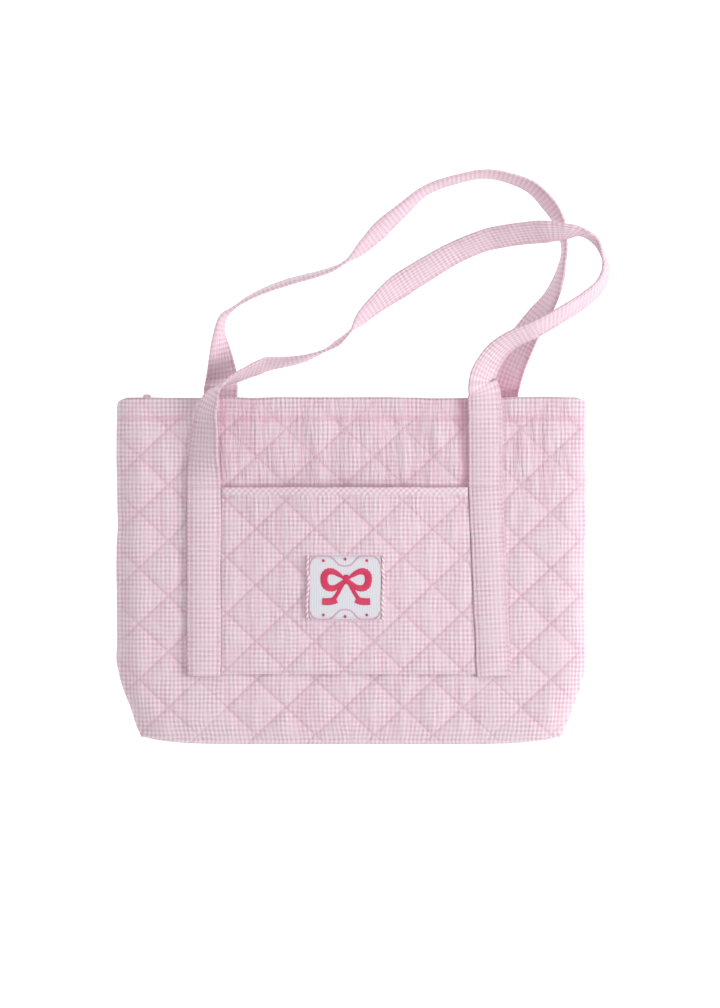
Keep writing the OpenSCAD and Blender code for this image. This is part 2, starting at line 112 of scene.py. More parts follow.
class Number:
    """A value that runs through a material's nodes and takes part in plain arithmetic."""

    def __init__(self, graph: "Graph", link: bpy.types.NodeSocket) -> None:
        """Wrap the output socket link of a node in graph."""
        self.graph = graph
        self.link = link

    def _math(self, operation: str, *values: Any) -> "Number":
        """Return a Math node's result for this operation on values."""
        made = self.graph.node("ShaderNodeMath", {"operation": operation}, dict(enumerate(values)))
        return Number(self.graph, made.outputs[0])

    __add__ = _operator("ADD")
    __sub__ = _operator("SUBTRACT")
    __rsub__ = _operator("SUBTRACT", swapped=True)
    __mul__ = _operator("MULTIPLY")
    __truediv__ = _operator("DIVIDE")
    __pow__ = _operator("POWER")
    least = _operator("MINIMUM")

    def sine(self) -> "Number":
        """Return the sine, in radians."""
        return self._math("SINE", self)

    def __abs__(self) -> "Number":
        """Return the size of the value, without its sign."""
        return self._math("ABSOLUTE", self)

    def off_whole(self) -> "Number":
        """Return the distance to the nearest whole number."""
        return abs(self - self._math("ROUND", self))

    def clamped(self) -> "Number":
        """Return the value held between 0 and 1."""
        made = self.graph.node("ShaderNodeClamp", {}, {0: self})
        return Number(self.graph, made.outputs[0])


class Graph:
    """The node tree of one material."""

    def __init__(self, name: str) -> None:
        """Make an empty material with this name."""
        self.material = bpy.data.materials.new(name)
        self.material.use_nodes = True
        self.tree = self.material.node_tree
        self.tree.nodes.clear()

    def node(self, kind: str, settings: dict[str, Any], sockets: dict[Any, Any]) -> bpy.types.Node:
        """Make any node.

        Args:
            kind: the node's type.
            settings: its properties, set first.
            sockets: values or links for its inputs, by name or number.

        Returns:
            The new node.
        """
        made = self.tree.nodes.new(kind)
        for key, value in settings.items():
            setattr(made, key, value)
        for key, value in sockets.items():
            link = value.link if isinstance(value, Number) else value
            if isinstance(link, bpy.types.NodeSocket):
                self.tree.links.new(link, made.inputs[key])
            else:
                made.inputs[key].default_value = link
        return made

    def number(self, kind: str, settings: dict[str, Any], sockets: dict[Any, Any], out: Any = 0) -> Number:
        """Make a node and return one of its outputs as a number."""
        return Number(self, self.node(kind, settings, sockets).outputs[out])

    def uv(self) -> tuple[Number, Number]:
        """Return the two coordinates of the piece's UV map, which are metres of cloth."""
        place = self.node("ShaderNodeUVMap", {"uv_map": "UVMap"}, {})
        parts = self.node("ShaderNodeSeparateXYZ", {}, {0: place.outputs[0]})
        return Number(self, parts.outputs[0]), Number(self, parts.outputs[1])

    def attribute(self, name: str) -> Number:
        """Return a number kept on the piece's points."""
        return self.number("ShaderNodeAttribute", {"attribute_name": name}, {}, "Fac")

    def place(self) -> tuple[Number, Number]:
        """Return the object's own x and y, in metres."""
        spot = self.node("ShaderNodeTexCoord", {}, {})
        parts = self.node("ShaderNodeSeparateXYZ", {}, {0: spot.outputs["Object"]})
        return Number(self, parts.outputs[0]), Number(self, parts.outputs[1])

    def streaks(self, x: Number, y: Number, detail: float = 2.0) -> Number:
        """Return noise over two coordinates that are already scaled, from 0 to 1."""
        spot = self.node("ShaderNodeCombineXYZ", {}, {0: x, 1: y})
        return self.number(
            "ShaderNodeTexNoise", {}, {"Vector": spot.outputs[0], "Scale": 1.0, "Detail": detail}
        )

    def bump(self, height: Number) -> bpy.types.NodeSocket:
        """Return the normal of a surface raised by height, in millimetres."""
        made = self.node("ShaderNodeBump", {}, {"Strength": 1.0, "Distance": 0.001, "Height": height})
        return made.outputs[0]

    def noise(self, scale: float, detail: float = 2.0) -> Number:
        """Return smooth noise over the object, from 0 to 1, at scale per metre."""
        place = self.node("ShaderNodeTexCoord", {}, {})
        return self.number(
            "ShaderNodeTexNoise", {}, {"Vector": place.outputs["Object"], "Scale": scale, "Detail": detail}
        )

    def blend(self, factor: Any, first: Any, second: Any) -> bpy.types.NodeSocket:
        """Return a colour between first and second."""
        made = self.node("ShaderNodeMix", {"data_type": "RGBA"}, {0: factor, 6: first, 7: second})
        return made.outputs[2]

    def finish(self, sockets: dict[str, Any]) -> bpy.types.Material:
        """Close the graph with a Principled shader that has these inputs."""
        shader = self.node("ShaderNodeBsdfPrincipled", {}, sockets)
        self.node("ShaderNodeOutputMaterial", {}, {0: shader.outputs[0]})
        return self.material


def home_of_bag() -> tuple[float, float]:
    """Return where the bag's own origin lies in the row frame, in millimetres."""
    low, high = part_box("front_cloth")
    return (low.x + high.x) / 2 / MM, low.y / MM


def opaque(colour: Colour) -> tuple[float, float, float, float]:
    """Return the colour with full alpha."""
    return (*colour, 1.0)


@dataclass(frozen=True)
class Quilting:
    """Diagonal quilting lines: a crossing at the origin, and crossings one step apart.

    Attributes:
        origin: a crossing, in millimetres of the bag's frame.
        step: width and height of a diamond.
    """

    origin: tuple[float, float]
    step: tuple[float, float]

    @property
    def apart(self) -> float:
        """Distance between two neighbouring lines."""
        return self.step[0] * self.step[1] / math.hypot(*self.step)

    def turned(self, x: Array, y: Array) -> tuple[tuple[Array, Array], tuple[Array, Array]]:
        """Return for both sets of lines the distance to the nearest and the place along it."""
        u, v = (x - self.origin[0]) / self.step[0], (y - self.origin[1]) / self.step[1]
        size = math.hypot(*self.step)
        out = []
        for across, sign in ((u + v, -1), (u - v, 1)):
            away = np.abs(across - np.round(across)) * self.apart
            along = (x * self.step[0] + sign * y * self.step[1]) / size
            out.append((away, along))
        return out[0], out[1]

    def lines(self, low: tuple[float, float], high: tuple[float, float], pitch: float) -> list[Array]:
        """Return rows of points along every line that crosses a box."""
        (ox, oy), (dx, dy) = self.origin, self.step
        corners = [((x - ox) / dx, (y - oy) / dy) for x in (low[0], high[0]) for y in (low[1], high[1])]
        out = []
        for sign in (1, -1):
            ranks = [u + sign * v for u, v in corners]
            for rank in range(math.ceil(min(ranks)), math.floor(max(ranks)) + 1):
                y = np.arange(low[1], high[1], pitch * dy / math.hypot(dx, dy))
                x = ox + dx * (rank - sign * (y - oy) / dy)
                keep = (x > low[0]) & (x < high[0])
                if keep.sum() > 2:
                    out.append(np.stack([x[keep], y[keep]], -1))
        return out


PANEL_QUILTING = Quilting((21.9, 279.9), (57.06, 54.04))
POCKET_QUILTING = Quilting((-92.8, 155.5), (57.0, 54.4))


@dataclass(frozen=True)
class GinghamFinish:
    """Fine two-tone check woven in soft cotton.

    Attributes:
        name: the material's name.
        pitch: check repeat along u and v.
        pale: colour of the white yarn.
        deep: colour where pink crosses pink.
        bias: whether the check lies at 45 degrees, as on bias binding.
        painted_shade_colour: colour painted as shade deep in a fold or a seam.
        quilting: its quilting lines, if it is quilted.
        crosswise: whether its small folds run across the piece's own width.
        crown: how far a strap's middle swells above its edges, in millimetres.
        yarns: yarns in one repeat of the check.
    """

    name: str
    pitch: tuple[float, float]
    pale: Colour
    deep: Colour
    bias: bool = False
    # Colour of the painted shade in folds, seams and beside the straps.
    painted_shade_colour: Colour = (0.76, 0.29, 0.43)
    quilting: Quilting | None = None
    crosswise: bool = False
    crown: float = 0.0
    yarns: int = 11

    def quilted(self, g: Graph) -> Number:
        """Return the distance to the nearest quilting line, in millimetres."""
        x, y = g.place()
        (hx, hy), (dx, dy) = home_of_bag(), self.quilting.step
        u = (x / MM - hx - self.quilting.origin[0]) / dx
        v = (y / MM - hy - self.quilting.origin[1]) / dy
        return (u + v).off_whole().least((u - v).off_whole()) * self.quilting.apart

    def material(self) -> bpy.types.Material:
        """Return the finished material."""
        g = Graph(self.name)
        u, v = g.uv()
        if self.bias:
            u, v = (u + v) * math.sqrt(0.5), (u - v) * math.sqrt(0.5)
        warp, weft = u * (math.tau / self.pitch[0]), v * (math.tau / self.pitch[1])
        check = (warp.sine() * 1.5 + 0.5).clamped() * 0.56 + (weft.sine() * 1.5 + 0.5).clamped() * 0.44
        warp_yarn, weft_yarn = (warp * self.yarns).sine(), (weft * self.yarns).sine()
        slub, patchy = g.noise(900.0, 3.0), g.noise(70.0, 3.0)
        strength = (patchy * 1.5 - 0.08).clamped()
        tone = ((check - 0.5) * strength + 0.5 + (slub - 0.5) * 0.3 + (patchy - 0.5) * 0.25).clamped()
        yarn = g.blend(tone, opaque(self.pale), opaque(self.deep))
        limp = g.attribute("limp")
        x, y = (v * 1.3, u * 0.7) if self.crosswise else g.place()
        long_fold = g.streaks(x * 190 + y * 9, y * 24, 1.5)
        short_fold = g.streaks(x * 330 - y * 14, y * 60, 2.0)
        ridge = (abs(long_fold - 0.5) * 2.6).clamped() ** 0.7 + (abs(short_fold - 0.5) * 2.6).clamped() * 0.35
        # Painted shade: the points' shade attribute, plus darker valleys of the small folds.
        shade = g.attribute("painted_shade") + (0.35 - ridge).clamped() * limp * 0.6
        height = (warp_yarn * weft_yarn * 0.5 + slub * 0.8) * 0.06 + ridge * limp * 1.1
        if self.crown:
            share = g.uv()[0] / STRAP_WIDTH
            height = height + share * (1 - share) * (4 * self.crown)
        if self.quilting:
            near = self.quilted(g)
            plain = 1 - g.attribute("hem") * 0.65
            # Painted shade along the quilting lines.
            shade = shade + (1 - (near / 0.6).clamped()) * plain * 0.06
            height = height - (1 - (near / 2.6).clamped()) ** 2 * plain * 0.48
        # The yarn's colour turns towards the painted shade colour.
        cloth = g.blend(shade.clamped(), yarn, opaque(self.painted_shade_colour))
        return g.finish(
            {
                "Base Color": cloth,
                "Roughness": (slub * 0.1 + 0.84).clamped(),
                "Normal": g.bump(height),
                "Specular IOR Level": 0.22,
                "Sheen Weight": 0.12,
                "Sheen Roughness": 0.5,
            }
        )


@dataclass(frozen=True)
class PlainClothFinish:
    """One-colour cloth, felt or wadding with a fine grain.

    Attributes:
        name: the material's name.
        colour: its colour.
        shade: the colour that its grain and folds tend to.
        grain: grains per metre.
        depth: height of the grain.
    """

    name: str
    colour: Colour
    # shade: the colour that its grain tends to, and its painted shade in folds and grooves.
    shade: Colour
    grain: float = 1400.0
    depth: float = 0.0002

    def material(self) -> bpy.types.Material:
        """Return the finished material."""
        g = Graph(self.name)
        grain = g.noise(self.grain, 3.0)
        # The grain's tone plus the points' painted shade.
        tone = ((grain - 0.4) * 0.8 + g.attribute("painted_shade")).clamped()
        bump = g.node("ShaderNodeBump", {}, {"Strength": 0.4, "Distance": self.depth, "Height": grain})
        return g.finish(
            {
                "Base Color": g.blend(tone, opaque(self.colour), opaque(self.shade)),
                "Roughness": (grain * 0.12 + 0.82).clamped(),
                "Normal": bump.outputs[0],
                "Specular IOR Level": 0.2,
                "Sheen Weight": 0.1,
            }
        )


@dataclass(frozen=True)
class ThreadFinish:
    """Satin-stitched embroidery thread, laid across the run of v.

    Attributes:
        name: the material's name.
        colour: the thread's colour.
        shade: its painted shade between two passes, also reached by random fuzz.
        thread: width of one pass.
    """

    name: str
    colour: Colour
    shade: Colour
    thread: float = 0.0006

    def material(self) -> bpy.types.Material:
        """Return the finished material."""
        g = Graph(self.name)
        _, v = g.uv()
        passes = (v * (math.tau / self.thread)).sine() * 0.5 + 0.5
        fuzz = g.noise(2500.0, 2.0)
        height = passes + fuzz * 0.4
        bump = g.node("ShaderNodeBump", {}, {"Strength": 0.6, "Distance": 0.0003, "Height": height})
        # Painted shade between the passes, with random fuzz.
        between = ((1 - passes) * 0.55 + fuzz * 0.2).clamped()
        return g.finish(
            {
                "Base Color": g.blend(between, opaque(self.colour), opaque(self.shade)),
                "Roughness": (fuzz * 0.2 + 0.42).clamped(),
                "Normal": bump.outputs[0],
                "Specular IOR Level": 0.4,
            }
        )


@dataclass(frozen=True)
class MouldedFinish:
    """Moulded plastic or enamelled metal with faint handling marks.

    Attributes:
        name: the material's name.
        colour: its colour.
        worn: the colour that shows through where it is rubbed.
        gloss: roughness of the clean surface.
    """

    name: str
    colour: Colour
    worn: Colour
    gloss: float

    def material(self) -> bpy.types.Material:
        """Return the finished material."""
        g = Graph(self.name)
        marks, grain = g.noise(180.0, 4.0), g.noise(3000.0, 2.0)
        bump = g.node("ShaderNodeBump", {}, {"Strength": 0.15, "Distance": 0.0001, "Height": grain})
        return g.finish(
            {
                "Base Color": g.blend(((marks - 0.55) * 2).clamped(), opaque(self.colour), opaque(self.worn)),
                "Roughness": (marks * 0.15 + self.gloss).clamped(),
                "Normal": bump.outputs[0],
            }
        )


BODY_CHECK = (4.12 * MM, 4.42 * MM)
PALE_PINK = (0.87, 0.77, 0.82)
DEEP_PINK = (0.62, 0.40, 0.49)
STRAP_WIDTH = 33 * MM
STRAP_CHECK = (4.05 * MM, 4.62 * MM)
STRAP_PALE = (0.86, 0.755, 0.805)
STRAP_DEEP = (0.63, 0.40, 0.495)
BIAS_CHECK = (4.1 * MM, 4.1 * MM)
BIAS_DEEP = (0.67, 0.42, 0.525)


def body_cloth(name: str, quilting: Quilting | None = None) -> GinghamFinish:
    return GinghamFinish(name, BODY_CHECK, PALE_PINK, DEEP_PINK, quilting=quilting)


def wadding() -> PlainClothFinish:
    """Return the white polyester wadding."""
    return PlainClothFinish("polyester_wadding", (0.86, 0.85, 0.82), (0.74, 0.73, 0.70), 420.0, 0.0012)


class Finish(Enum):
    """Every finish on the bag, with the record's slot that it belongs to."""

    GINGHAM = ("gingham", body_cloth("gingham_cotton"))
    QUILT = ("gingham", body_cloth("quilted_gingham", PANEL_QUILTING))
    POCKET_QUILT = ("gingham", body_cloth("pocket_gingham", POCKET_QUILTING))
    STRAP = (
        "strap_gingham",
        GinghamFinish("strap_cotton", STRAP_CHECK, STRAP_PALE, STRAP_DEEP, crosswise=True, crown=2.2),
    )
    BIAS = ("binding_gingham", GinghamFinish("bias_cotton", BIAS_CHECK, PALE_PINK, BIAS_DEEP, True))
    WADDING = ("batting", wadding())
    LINING = ("lining", PlainClothFinish("lining_cotton", (0.83, 0.56, 0.65), (0.66, 0.36, 0.47)))
    PATCH = ("patch", PlainClothFinish("pleated_cotton", (0.72, 0.715, 0.76), (0.47, 0.49, 0.58)))
    PIPING_WHITE = ("piping", PlainClothFinish("white_cord", (0.88, 0.82, 0.84), (0.70, 0.60, 0.64), 2600.0))
    PIPING_PINK = ("piping", PlainClothFinish("pink_cord", (0.80, 0.42, 0.54), (0.64, 0.28, 0.40), 2600.0))
    CRIMSON = ("red_thread", ThreadFinish("crimson_floss", (0.78, 0.045, 0.14), (0.52, 0.02, 0.075)))
    ROSE = ("pink_thread", ThreadFinish("rose_floss", (0.80, 0.42, 0.55), (0.62, 0.26, 0.39)))
    SEAM_THREAD = (
        "pink_thread",
        PlainClothFinish("seam_thread", (0.88, 0.70, 0.77), (0.72, 0.46, 0.56), 4000.0),
    )
    TAPE = ("zip_tape", PlainClothFinish("zip_tape_weave", (0.84, 0.58, 0.66), (0.70, 0.40, 0.50), 3000.0))
    TEETH = ("zip_plastic", MouldedFinish("moulded_teeth", (0.86, 0.85, 0.84), (0.75, 0.74, 0.72), 0.35))
    ENAMEL = ("zip_metal", MouldedFinish("enamelled_zinc", (0.84, 0.82, 0.80), (0.55, 0.54, 0.53), 0.25))

    @property
    def slot(self) -> str:
        """Name of the record's material slot."""
        return self.value[0]

    def made(self) -> bpy.types.Material:
        """Return the material, built the first time it is asked for."""
        recipe = self.value[1]
        return bpy.data.materials.get(recipe.name) or recipe.material()


# --------------------------------------------------------------------------- mesh building


def ease(t: Array) -> Array:
    """Return a smooth step from 0 to 1."""
    c = np.clip(t, 0.0, 1.0)
    return c * c * (3 - 2 * c)


def round_in(d: Array, r: float) -> Array:
    """Return a quarter round that rises from 0 at the edge to 1 at the distance r."""
    k = 1 - np.clip(d / r, 0.0, 1.0)
    return np.sqrt(np.maximum(1 - k * k, 0.0))


def spread(centre: float, half: float, roll: float, step: float) -> Array:
    """Return places across a rolled span, even along its curve.

    Args:
        centre: middle of the span.
        half: half of its width.
        roll: distance over which each side rolls in.
        step: spacing on the flat middle.

    Returns:
        Places from the low side to the high side.
    """
    turn = np.linspace(0, math.pi / 2, max(int(roll * 1.25 / step), 4))
    side = half - roll * (1 - np.cos(turn))
    flat = np.linspace(-(half - roll), half - roll, max(int(2 * (half - roll) / step), 2) + 1)
    return centre + np.concatenate([-side[:-1], flat, side[:-1][::-1]])


class Ripple:
    """Smooth seeded noise over a plane, from -1 to 1."""

    SIZE = 128

    def __init__(self, seed: int, cell_x: float, cell_y: float) -> None:
        """Set the noise's seed and the size of its cells."""
        self.grid = np.random.default_rng(seed).uniform(-1, 1, (self.SIZE, self.SIZE))
        self.cell = (cell_x, cell_y)

    def at(self, x: Array, y: Array) -> Array:
        """Return the noise at each x and y."""
        gx, gy = x / self.cell[0] + 31.7, y / self.cell[1] + 47.3
        ix, iy = np.floor(gx).astype(int), np.floor(gy).astype(int)
        fx, fy = ease(gx - ix), ease(gy - iy)
        near_x, far_x = ix % self.SIZE, (ix + 1) % self.SIZE
        near_y, far_y = iy % self.SIZE, (iy + 1) % self.SIZE
        low = self.grid[near_y, near_x] * (1 - fx) + self.grid[near_y, far_x] * fx
        high = self.grid[far_y, near_x] * (1 - fx) + self.grid[far_y, far_x] * fx
        return low * (1 - fy) + high * fy


def quad_grid(rows: int, columns: int, first: int = 0, closed: bool = False) -> Array:
    """Return the quads of a grid of points, wound so that +X by +Y faces up.

    Args:
        rows: number of rows of points.
        columns: points in a row.
        first: index of the first point.
        closed: whether each row joins up into a ring.
    """
    j, i = np.meshgrid(np.arange(rows - 1), np.arange(columns if closed else columns - 1), indexing="ij")
    a = j * columns + i
    b = j * columns + (i + 1) % columns
    return (np.stack([a, b, b + columns, a + columns], -1).reshape(-1, 4)) + first


class Mesh:
    """Points, faces, cloth coordinates and painted shade of one piece."""

    def __init__(
        self,
        points: Array,
        uvs: Array,
        faces: list[Array],
        painted_shade: Array | None = None,
        limp: Array | None = None,
        hem: Array | None = None,
    ) -> None:
        """Keep the arrays; each entry of faces is an array of quads or one list of indices."""
        self.points, self.uvs, self.faces = points, uvs, faces
        self.painted_shade = np.zeros(len(points)) if painted_shade is None else painted_shade
        self.limp = np.zeros(len(points)) if limp is None else limp
        self.hem = np.zeros(len(points)) if hem is None else hem

    def to_object(self, name: str, finish: Finish) -> bpy.types.Object:
        """Return a linked object with this mesh, smooth and finished."""
        loops, starts, count = [], [], 0
        for group in self.faces:
            group = np.atleast_2d(group)
            loops.append(group.ravel())
            starts.append(count + np.arange(len(group)) * group.shape[1])
            count += group.size
        corner = np.concatenate(loops).astype(np.int32)
        start = np.concatenate(starts).astype(np.int32)
        data = bpy.data.meshes.new(name)
        data.vertices.add(len(self.points))
        data.vertices.foreach_set("co", self.points.astype(np.float32).ravel())
        data.loops.add(len(corner))
        data.loops.foreach_set("vertex_index", corner)
        data.polygons.add(len(start))
        data.polygons.foreach_set("loop_start", start)
        data.polygons.foreach_set("use_smooth", np.ones(len(start), bool))
        layer = data.uv_layers.new(name="UVMap")
        layer.data.foreach_set("uv", self.uvs[corner].astype(np.float32).ravel())
        # The painted shade, limpness and hem are kept on the points for the materials.
        for label, values in (("painted_shade", self.painted_shade), ("limp", self.limp), ("hem", self.hem)):
            layer = data.attributes.new(label, "FLOAT", "POINT")
            layer.data.foreach_set("value", values.astype(np.float32))
        data.update(calc_edges=True)
        data.validate()
        data.materials.append(finish.made())
        made = bpy.data.objects.new(name, data)
        bpy.context.scene.collection.objects.link(made)
        return made


def shell(top: Array, bottom: Array, uv: Array, painted_shade: Array, limp: Array | None = None) -> Mesh:
    """Return a closed cloth between two grids of points.

    Args:
        top: rows of points of the upper face, x rising along a row and y from row to row.
        bottom: the same grid for the lower face.
        uv: cloth coordinates of each grid point.
        painted_shade: painted shade at each grid point.
        limp: how far the cloth is wrinkled at each grid point.
    """
    rows, columns = top.shape[:2]
    n = rows * columns
    grid = quad_grid(rows, columns)
    index = np.arange(n).reshape(rows, columns)
    rim = np.concatenate([index[0, :-1], index[:-1, -1], index[-1, :0:-1], index[:0:-1, 0]])
    nxt = np.roll(rim, -1)
    walls = np.stack([rim, rim + n, nxt + n, nxt], -1)
    return Mesh(
        np.concatenate([top.reshape(-1, 3), bottom.reshape(-1, 3)]),
        np.concatenate([uv.reshape(-1, 2)] * 2),
        [grid, grid[:, ::-1] + n, walls],
        np.concatenate([painted_shade.ravel()] * 2),
        None if limp is None else np.concatenate([limp.ravel()] * 2),
    )


def loft(rings: Array, uv: Array, painted_shade: Array | None = None) -> Mesh:
    """Return a closed solid through rings that run anticlockwise seen from the far end."""
    count, m = rings.shape[:2]
    caps = [np.arange(m)[::-1], np.arange(m) + (count - 1) * m]
    return Mesh(
        rings.reshape(-1, 3),
        uv.reshape(-1, 2),
        [quad_grid(count, m, closed=True), *caps],
        None if painted_shade is None else painted_shade.ravel(),
    )


def curve_through(points: Array, steps: int) -> Array:
    """Return a smooth curve through rows of points, with steps between each two."""
    p = np.vstack([2 * points[0] - points[1], points, 2 * points[-1] - points[-2]])
    t = (np.arange(steps) / steps)[:, None]
    out = [
        0.5 * (2 * b + (c - a) * t + (2 * a - 5 * b + 4 * c - d) * t**2 + (3 * b - a - 3 * c + d) * t**3)
        for a, b, c, d in zip(p, p[1:], p[2:], p[3:])
    ]
    return np.vstack([*out, points[-1:]])


def evenly(points: Array, step: float) -> Array:
    """Return rows of points at an even step along the curve that their first three columns make."""
    run = np.concatenate([[0], np.cumsum(np.linalg.norm(np.diff(points[:, :3], axis=0), axis=1))])
    at = np.linspace(0, run[-1], max(int(run[-1] / step), 2) + 1)
    return np.stack([np.interp(at, run, points[:, k]) for k in range(points.shape[1])], -1)


def runs_of(keep: Array) -> Iterable[Array]:
    """Yield the indices of every unbroken run of more than four kept points."""
    for run in np.split(np.arange(len(keep)), np.flatnonzero(np.diff(keep.astype(int))) + 1):
        if keep[run].all() and len(run) > 4:
            yield run


def unit(v: Array) -> Array:
    """Return rows scaled to length 1."""
    return v / np.maximum(np.linalg.norm(v, axis=-1, keepdims=True), 1e-12)


def declare(piece: bpy.types.Object, body: str, nodes: Sequence[str]) -> None:
    """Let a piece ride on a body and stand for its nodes.

    Args:
        piece: the visible piece.
        body: the body it moves with.
        nodes: the frame's nodes that it stands for, if any.
    """
    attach(piece, body)
    if nodes:
        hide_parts(*nodes)
    LOG.info("%s rides on %s, %d faces", piece.name, body, len(piece.data.polygons))


# --------------------------------------------------------------------------- repeated detail


class Repeat:
    """Geometry Nodes trees for what repeats along a line, and their turning into plain meshes."""

    def __init__(self) -> None:
        """Start with no trees; each is built when it is first used."""
        self.trees: dict[str, bpy.types.NodeTree] = {}

    @staticmethod
    def _tree(name: str, inputs: dict[str, float]) -> bpy.types.NodeTree:
        """Return a new tree with a geometry input and output and these named sizes."""
        tree = bpy.data.node_groups.new(name, "GeometryNodeTree")
        tree.interface.new_socket("Line", in_out="INPUT", socket_type="NodeSocketGeometry")
        for label, value in inputs.items():
            made = tree.interface.new_socket(label, in_out="INPUT", socket_type="NodeSocketFloat")
            made.default_value = value
        tree.interface.new_socket("Finish", in_out="INPUT", socket_type="NodeSocketMaterial")
        tree.interface.new_socket("Result", in_out="OUTPUT", socket_type="NodeSocketGeometry")
        return tree

    def beads(self) -> bpy.types.NodeTree:
        """Return the tree that sets one long bead, such as a stitch or a tooth, at each pitch."""
        if "beads" in self.trees:
            return self.trees["beads"]
        sizes = {"Pitch": 0.003, "Length": 0.0024, "Width": 0.0005, "Height": 0.0005}
        tree = self._tree("beads_along_line", sizes)
        new = tree.nodes.new
        source, curve = new("NodeGroupInput"), new("GeometryNodeMeshToCurve")
        even = new("GeometryNodeResampleCurve")
        even.mode = "LENGTH"
        bead = new("GeometryNodeMeshUVSphere")
        for label, value in (("Segments", 8), ("Rings", 5), ("Radius", 0.5)):
            bead.inputs[label].default_value = value
        size, along = new("ShaderNodeCombineXYZ"), new("GeometryNodeInputTangent")
        turn = new("FunctionNodeAlignRotationToVector")
        turn.axis = "X"
        put = new("GeometryNodeInstanceOnPoints")
        self._wire(
            tree,
            (
                (source, "Line", curve, "Mesh"),
                (curve, "Curve", even, "Curve"),
                (source, "Pitch", even, "Length"),
                (source, "Length", size, 0),
                (source, "Width", size, 1),
                (source, "Height", size, 2),
                (along, 0, turn, "Vector"),
                (even, "Curve", put, "Points"),
                (bead, "Mesh", put, "Instance"),
                (turn, 0, put, "Rotation"),
                (size, 0, put, "Scale"),
            ),
        )
        return self._close("beads", tree, source, put.outputs["Instances"])

    def cord(self) -> bpy.types.NodeTree:
        """Return the tree that gives a line a round section."""
        if "cord" in self.trees:
            return self.trees["cord"]
        tree = self._tree("round_cord", {"Radius": 0.001})
        new = tree.nodes.new
        source, curve = new("NodeGroupInput"), new("GeometryNodeMeshToCurve")
        section = new("GeometryNodeCurvePrimitiveCircle")
        section.inputs["Resolution"].default_value = 8
        sweep = new("GeometryNodeCurveToMesh")
        sweep.inputs["Fill Caps"].default_value = True
        self._wire(
            tree,
            (
                (source, "Line", curve, "Mesh"),
                (source, "Radius", section, "Radius"),
                (curve, "Curve", sweep, "Curve"),
                (section, "Curve", sweep, "Profile Curve"),
            ),
        )
        return self._close("cord", tree, source, sweep.outputs["Mesh"])

    @staticmethod
    def _wire(tree: bpy.types.NodeTree, links: Iterable[tuple[Any, Any, Any, Any]]) -> None:
        """Join a tree's nodes; each row is a node, its output, the next node and its input."""
        for source, out, target, into in links:
            tree.links.new(source.outputs[out], target.inputs[into])

    def _close(
        self, label: str, tree: bpy.types.NodeTree, source: bpy.types.Node, shape: bpy.types.NodeSocket
    ) -> bpy.types.NodeTree:
        """End a tree by making its shape real, smooth and painted.

        Args:
            label: name to keep the tree under.
            tree: the tree.
            source: its group input.
            shape: the output that holds its shape.

        Returns:
            The finished tree.
        """
        new = tree.nodes.new
        real, smooth = new("GeometryNodeRealizeInstances"), new("GeometryNodeSetShadeSmooth")
        paint, result = new("GeometryNodeSetMaterial"), new("NodeGroupOutput")
        tree.links.new(shape, real.inputs[0])
        self._wire(
            tree,
            (
                (real, 0, smooth, 0),
                (smooth, 0, paint, "Geometry"),
                (source, "Finish", paint, "Material"),
                (paint, "Geometry", result, "Result"),
            ),
        )
        self.trees[label] = tree
        return tree

    @staticmethod
    def along(
        name: str, lines: Iterable[Array], tree: bpy.types.NodeTree, finish: Finish, sizes: dict[str, float]
    ) -> bpy.types.Object:
        """Run a tree along some lines and keep the result as a plain mesh.

        Args:
            name: name of the piece.
            lines: arrays of points, one for each line.
            tree: one of this class's trees.
            finish: what the piece is made of.
            sizes: values for the tree's named inputs.

        Returns:
            The finished object.
        """
        points, edges = [], []
        count = 0
        for line in lines:
            points.extend(line.tolist())
            edges.extend((count + k, count + k + 1) for k in range(len(line) - 1))
            count += len(line)
        data = bpy.data.meshes.new(name + "_line")
        data.from_pydata(points, edges, [])
        carrier = bpy.data.objects.new(name, data)
        bpy.context.scene.collection.objects.link(carrier)
        modifier = carrier.modifiers.new("repeat", "NODES")
        modifier.node_group = tree
        for item in tree.interface.items_tree:
            if item.in_out == "INPUT" and item.name in sizes:
                modifier[item.identifier] = sizes[item.name]
            if item.in_out == "INPUT" and item.name == "Finish":
                modifier[item.identifier] = finish.made()
        carrier.update_tag()
        graph = bpy.context.evaluated_depsgraph_get()
        graph.update()
        plain = bpy.data.meshes.new_from_object(carrier.evaluated_get(graph), depsgraph=graph)
        carrier.modifiers.clear()
        carrier.data = plain
        if not plain.materials:
            plain.materials.append(finish.made())
        return carrier


# How far the facing, the stitches that hold it and the calmer cloth above them start under the
# mouth, in millimetres.
FACING_DROP, HEM_DROP, CALM_DROP = 22.0, 21.0, 23.0

REPEAT = Repeat()
STITCH = {"Pitch": 0.0030, "Length": 0.0024, "Width": 0.00042, "Height": 0.00042}


# --------------------------------------------------------------------------- the bag's form


